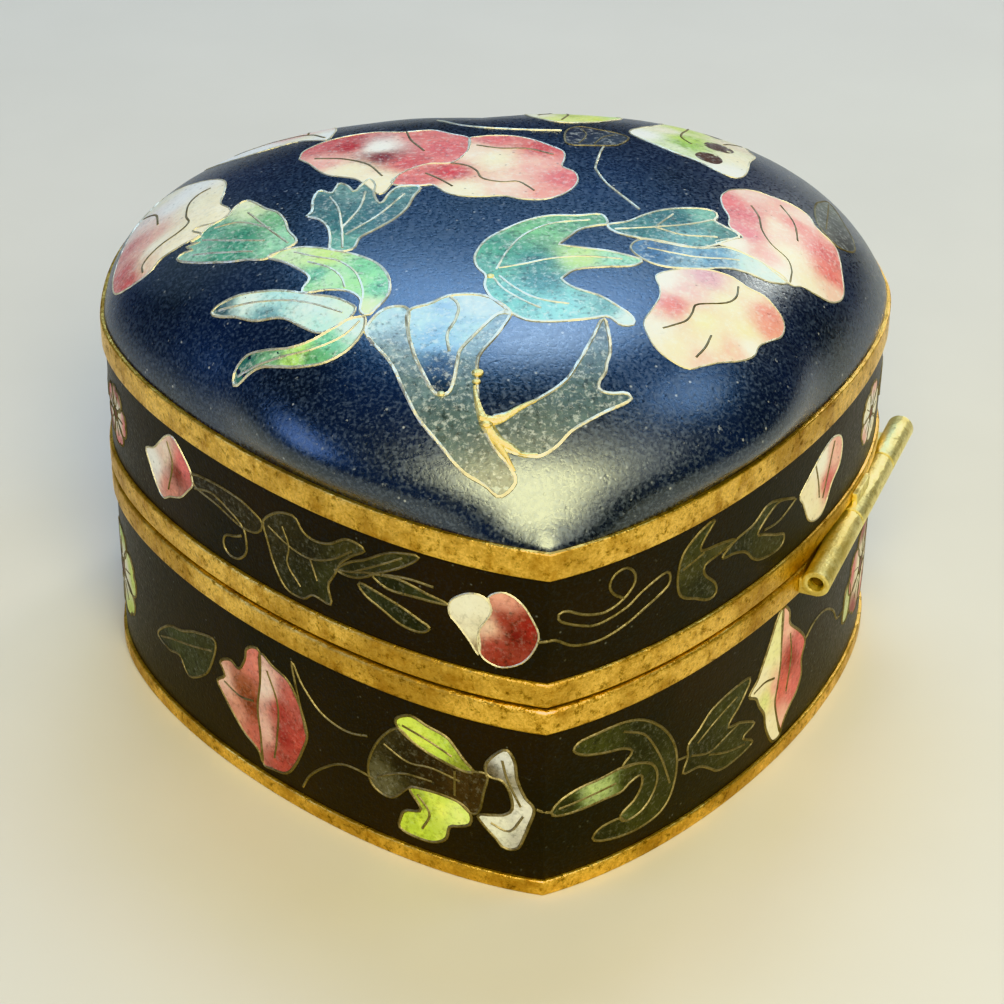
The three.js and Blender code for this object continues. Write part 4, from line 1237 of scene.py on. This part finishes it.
def leaf_pair(panel, u, z, size, way, colour):
    """Two toothed leaves on a curling stem; `way` is 1 to the right and -1 to the left."""
    for lean in (1, -1):
        def at(along, up):
            return u + way * size * along, z + lean * size * up

        panel.cell(written(at(p, q * 0.9 + 0.12 * p) for p, q in TOOTHED),
                   {at(0.4, 0): colour, at(1.6, 0.4): OLIVE},
                   written([at(0, 0), at(0.8, 0.28), at(1.6, 0.36)]), wire=WALL_WIRE)


def scroll(panel, u, z, length, height, way):
    """A rising stem and the hook it ends in."""
    stem = [(u + way * length * t, z + height * math.sin(3.6 * t) * (1 - 0.3 * t)) for t in np.arange(9) / 13]
    hook = [(u + way * length * (0.62 + 0.16 * math.cos(a)), z + height * (0.62 + 0.42 * math.sin(a)))
            for a in (-0.6, 0.3, 1.2, 2.1, 3.0, 3.9)]
    panel.wire(written(stem), SCROLL_WIRE)
    panel.wire(written(hook), SCROLL_WIRE)


PINKS, CREAMS, LIMES = (ROSE, RED, CREAM), (CREAM, BLUSH, WHITE), (LIME, (180, 206, 90), CREAM)
LID_COLOURS, BASE_COLOURS = (PINKS, CREAMS, LIMES), (LIMES, PINKS, CREAMS)
for side, start in ((-1, 41), (1, 36)):  # the listed front ends so far round on each side
    for k, u in enumerate(np.arange(start + 3, 92, LID_PITCH)):
        blossom(lid_wall, side * u, LID_ROW, 2.5, LID_COLOURS[(k + (side > 0)) % 3], 0.4 * k)
        leaf_pair(lid_wall, side * (u + 3.2), LID_ROW, 1.9, side, (MOSS, GREEN, TEAL)[k % 3])
        scroll(lid_wall, side * (u + 7.4), 22.4, 3.2, 1.6, -side)
    for k, u in enumerate(np.arange(start + 5, 90, BASE_PITCH)):
        blossom(base_wall, side * u, BASE_ROW, 4.0, BASE_COLOURS[(k + (side > 0)) % 3], 0.3 + 0.5 * k)
        leaf_pair(base_wall, side * (u + 4.7), 7.6, 2.5, side, (GREEN, MOSS, SEA)[k % 3])
        scroll(base_wall, side * (u + 4), 10.4, 6, 2.2, side)
lid_wall.report()
base_wall.report()

# %% [markdown]
# ** Assembly.** The cells and wires of each area become one piece each. Every piece takes its material
# and the body that carries it, and stands for its solid.

# %% Assembly
def dress(piece, material, slot, body, *nodes):
    """Gives a finished piece its material, its body and the nodes it stands for; `slot` is not used."""
    piece.data.materials.clear()
    piece.data.materials.append(material)
    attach(piece, body)
    if nodes:
        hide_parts(*nodes)
    print(piece.name, len(piece.data.polygons), "faces")


dress(cup, LINING, "copper_sheet", "base", "base_cup")
dress(lid_sheet, LINING, "copper_sheet", "lid", "lid_shell")
dress(foot_band, BRASS, "brass_band", "base", "base_foot_band")
dress(base_rim, BRASS, "brass_band", "base", "base_rim_band")
dress(lid_rim, BRASS, "brass_band", "lid", "lid_rim_band")
dress(dome_band, BRASS, "brass_band", "lid", "lid_top_band")
dress(base_ground, BROWN, "side_enamel", "base", "base_side_enamel")
dress(lid_ground, BROWN, "side_enamel", "lid", "lid_side_enamel")
dress(dome_ground, NAVY, "dome_enamel", "lid", "lid_dome_enamel")
dress(knuckles["front"], HINGE_BRASS, "hinge_brass", "base", "hinge_knuckle_front")
dress(knuckles["back"], HINGE_BRASS, "hinge_brass", "base", "hinge_knuckle_back")
dress(knuckles["middle"], HINGE_BRASS, "hinge_brass", "lid", "hinge_knuckle_middle")
dress(pin, PIN_BRASS, "hinge_brass", "base", "hinge_pin")
for panel, glass, slot, body in ((dome, CELLS, "dome_enamel", "lid"),
                                 (lid_wall, WALL_CELLS, "side_enamel", "lid"),
                                 (base_wall, WALL_CELLS, "side_enamel", "base")):
    dress(panel.make_cells(), glass, slot, body)
    for tone, metal in (("dull", DULL_WIRE), ("pale", PALE_WIRE), ("gold", SOLDER)):
        if any(own_tone == tone for *_, own_tone in panel.wires):
            dress(panel.make_wires(tone), metal, slot, body)
bpy.data.objects.remove(scribed)

# %% [markdown]
# **Stage.** A plain pale floor and round soft boxes. Their reflections draw the dome: the cool window
# behind lies across its front, the warm key in front glows on the tip, and the left fill leaves a blue
# streak above the left band. The broad glow lights the walls, and the small panes catch the hinge. The
# view transform keeps dark glass dark.

# %% Floor and lights
LIT = Vector((0, -8, 25))  # the point all lights face
LIGHTS = [  # name, azimuth, height, distance, size, power, colour
    ("window", 5, 55, 500, 330, 1.25, (0.35, 0.6, 1.0)),
    ("window_pane", 13, 60, 500, 120, 0.16, (0.9, 0.97, 1.0)),
    ("side_pane", 40, 24, 600, 120, 0.8, (1.0, 0.98, 0.86)),
    ("front_key", 178, 43, 500, 320, 2.8, (1.0, 0.88, 0.42)),
    ("front_glow", 168, 46, 500, 600, 1.1, (1.0, 0.97, 0.88)),
    ("left_fill", -98, 20, 600, 320, 0.8, (0.34, 0.5, 1.0)),
    ("right_fill", 84, 56, 600, 200, 0.4, (0.42, 0.64, 1.0)),
    ("back_glow", -30, 18, 800, 460, 0.18, (0.7, 0.86, 1.0)),
]


def stage_finish():
    f = Finish("pale_floor")
    grain = f.noise(0.05, 3)
    f.relief(grain, 0.05, 0.1)
    return f.set(Base_Color=f.blend(grain, srgb(198, 194, 186), srgb(206, 202, 194)), Roughness=0.6)


def soft_light(name, azimuth, height, distance, size, power, colour):
    """A round soft box. Azimuth 0 is straight behind the box and 90 on its right, both angles in degrees."""
    a, h = math.radians(azimuth), math.radians(height)
    way = Vector((math.sin(a) * math.cos(h), math.cos(a) * math.cos(h), math.sin(h)))
    bpy.ops.object.light_add(type="AREA", location=(LIT + way * distance) * MM)
    light = bpy.context.object
    light.name = name
    light.rotation_euler = way.to_track_quat("Z", "Y").to_euler()
    light.data.shape = "DISK"
    light.data.size, light.data.energy, light.data.color = size * MM, power, colour


clear_selection()
bpy.ops.mesh.primitive_plane_add(size=6, location=(0, 0, 0))
floor = bpy.context.object
floor.name = "floor"
floor.data.materials.append(stage_finish())
for light in LIGHTS:
    soft_light(*light)
world = bpy.data.worlds.new("soft_room")
bpy.context.scene.world = world
world.use_nodes = True
room = world.node_tree.nodes["Background"].inputs
room["Color"].default_value = (0.5, 0.5, 0.52, 1)
room["Strength"].default_value = 0.2
bpy.context.scene.view_settings.view_transform = "Khronos PBR Neutral"
print("lights:", [light[0] for light in LIGHTS])
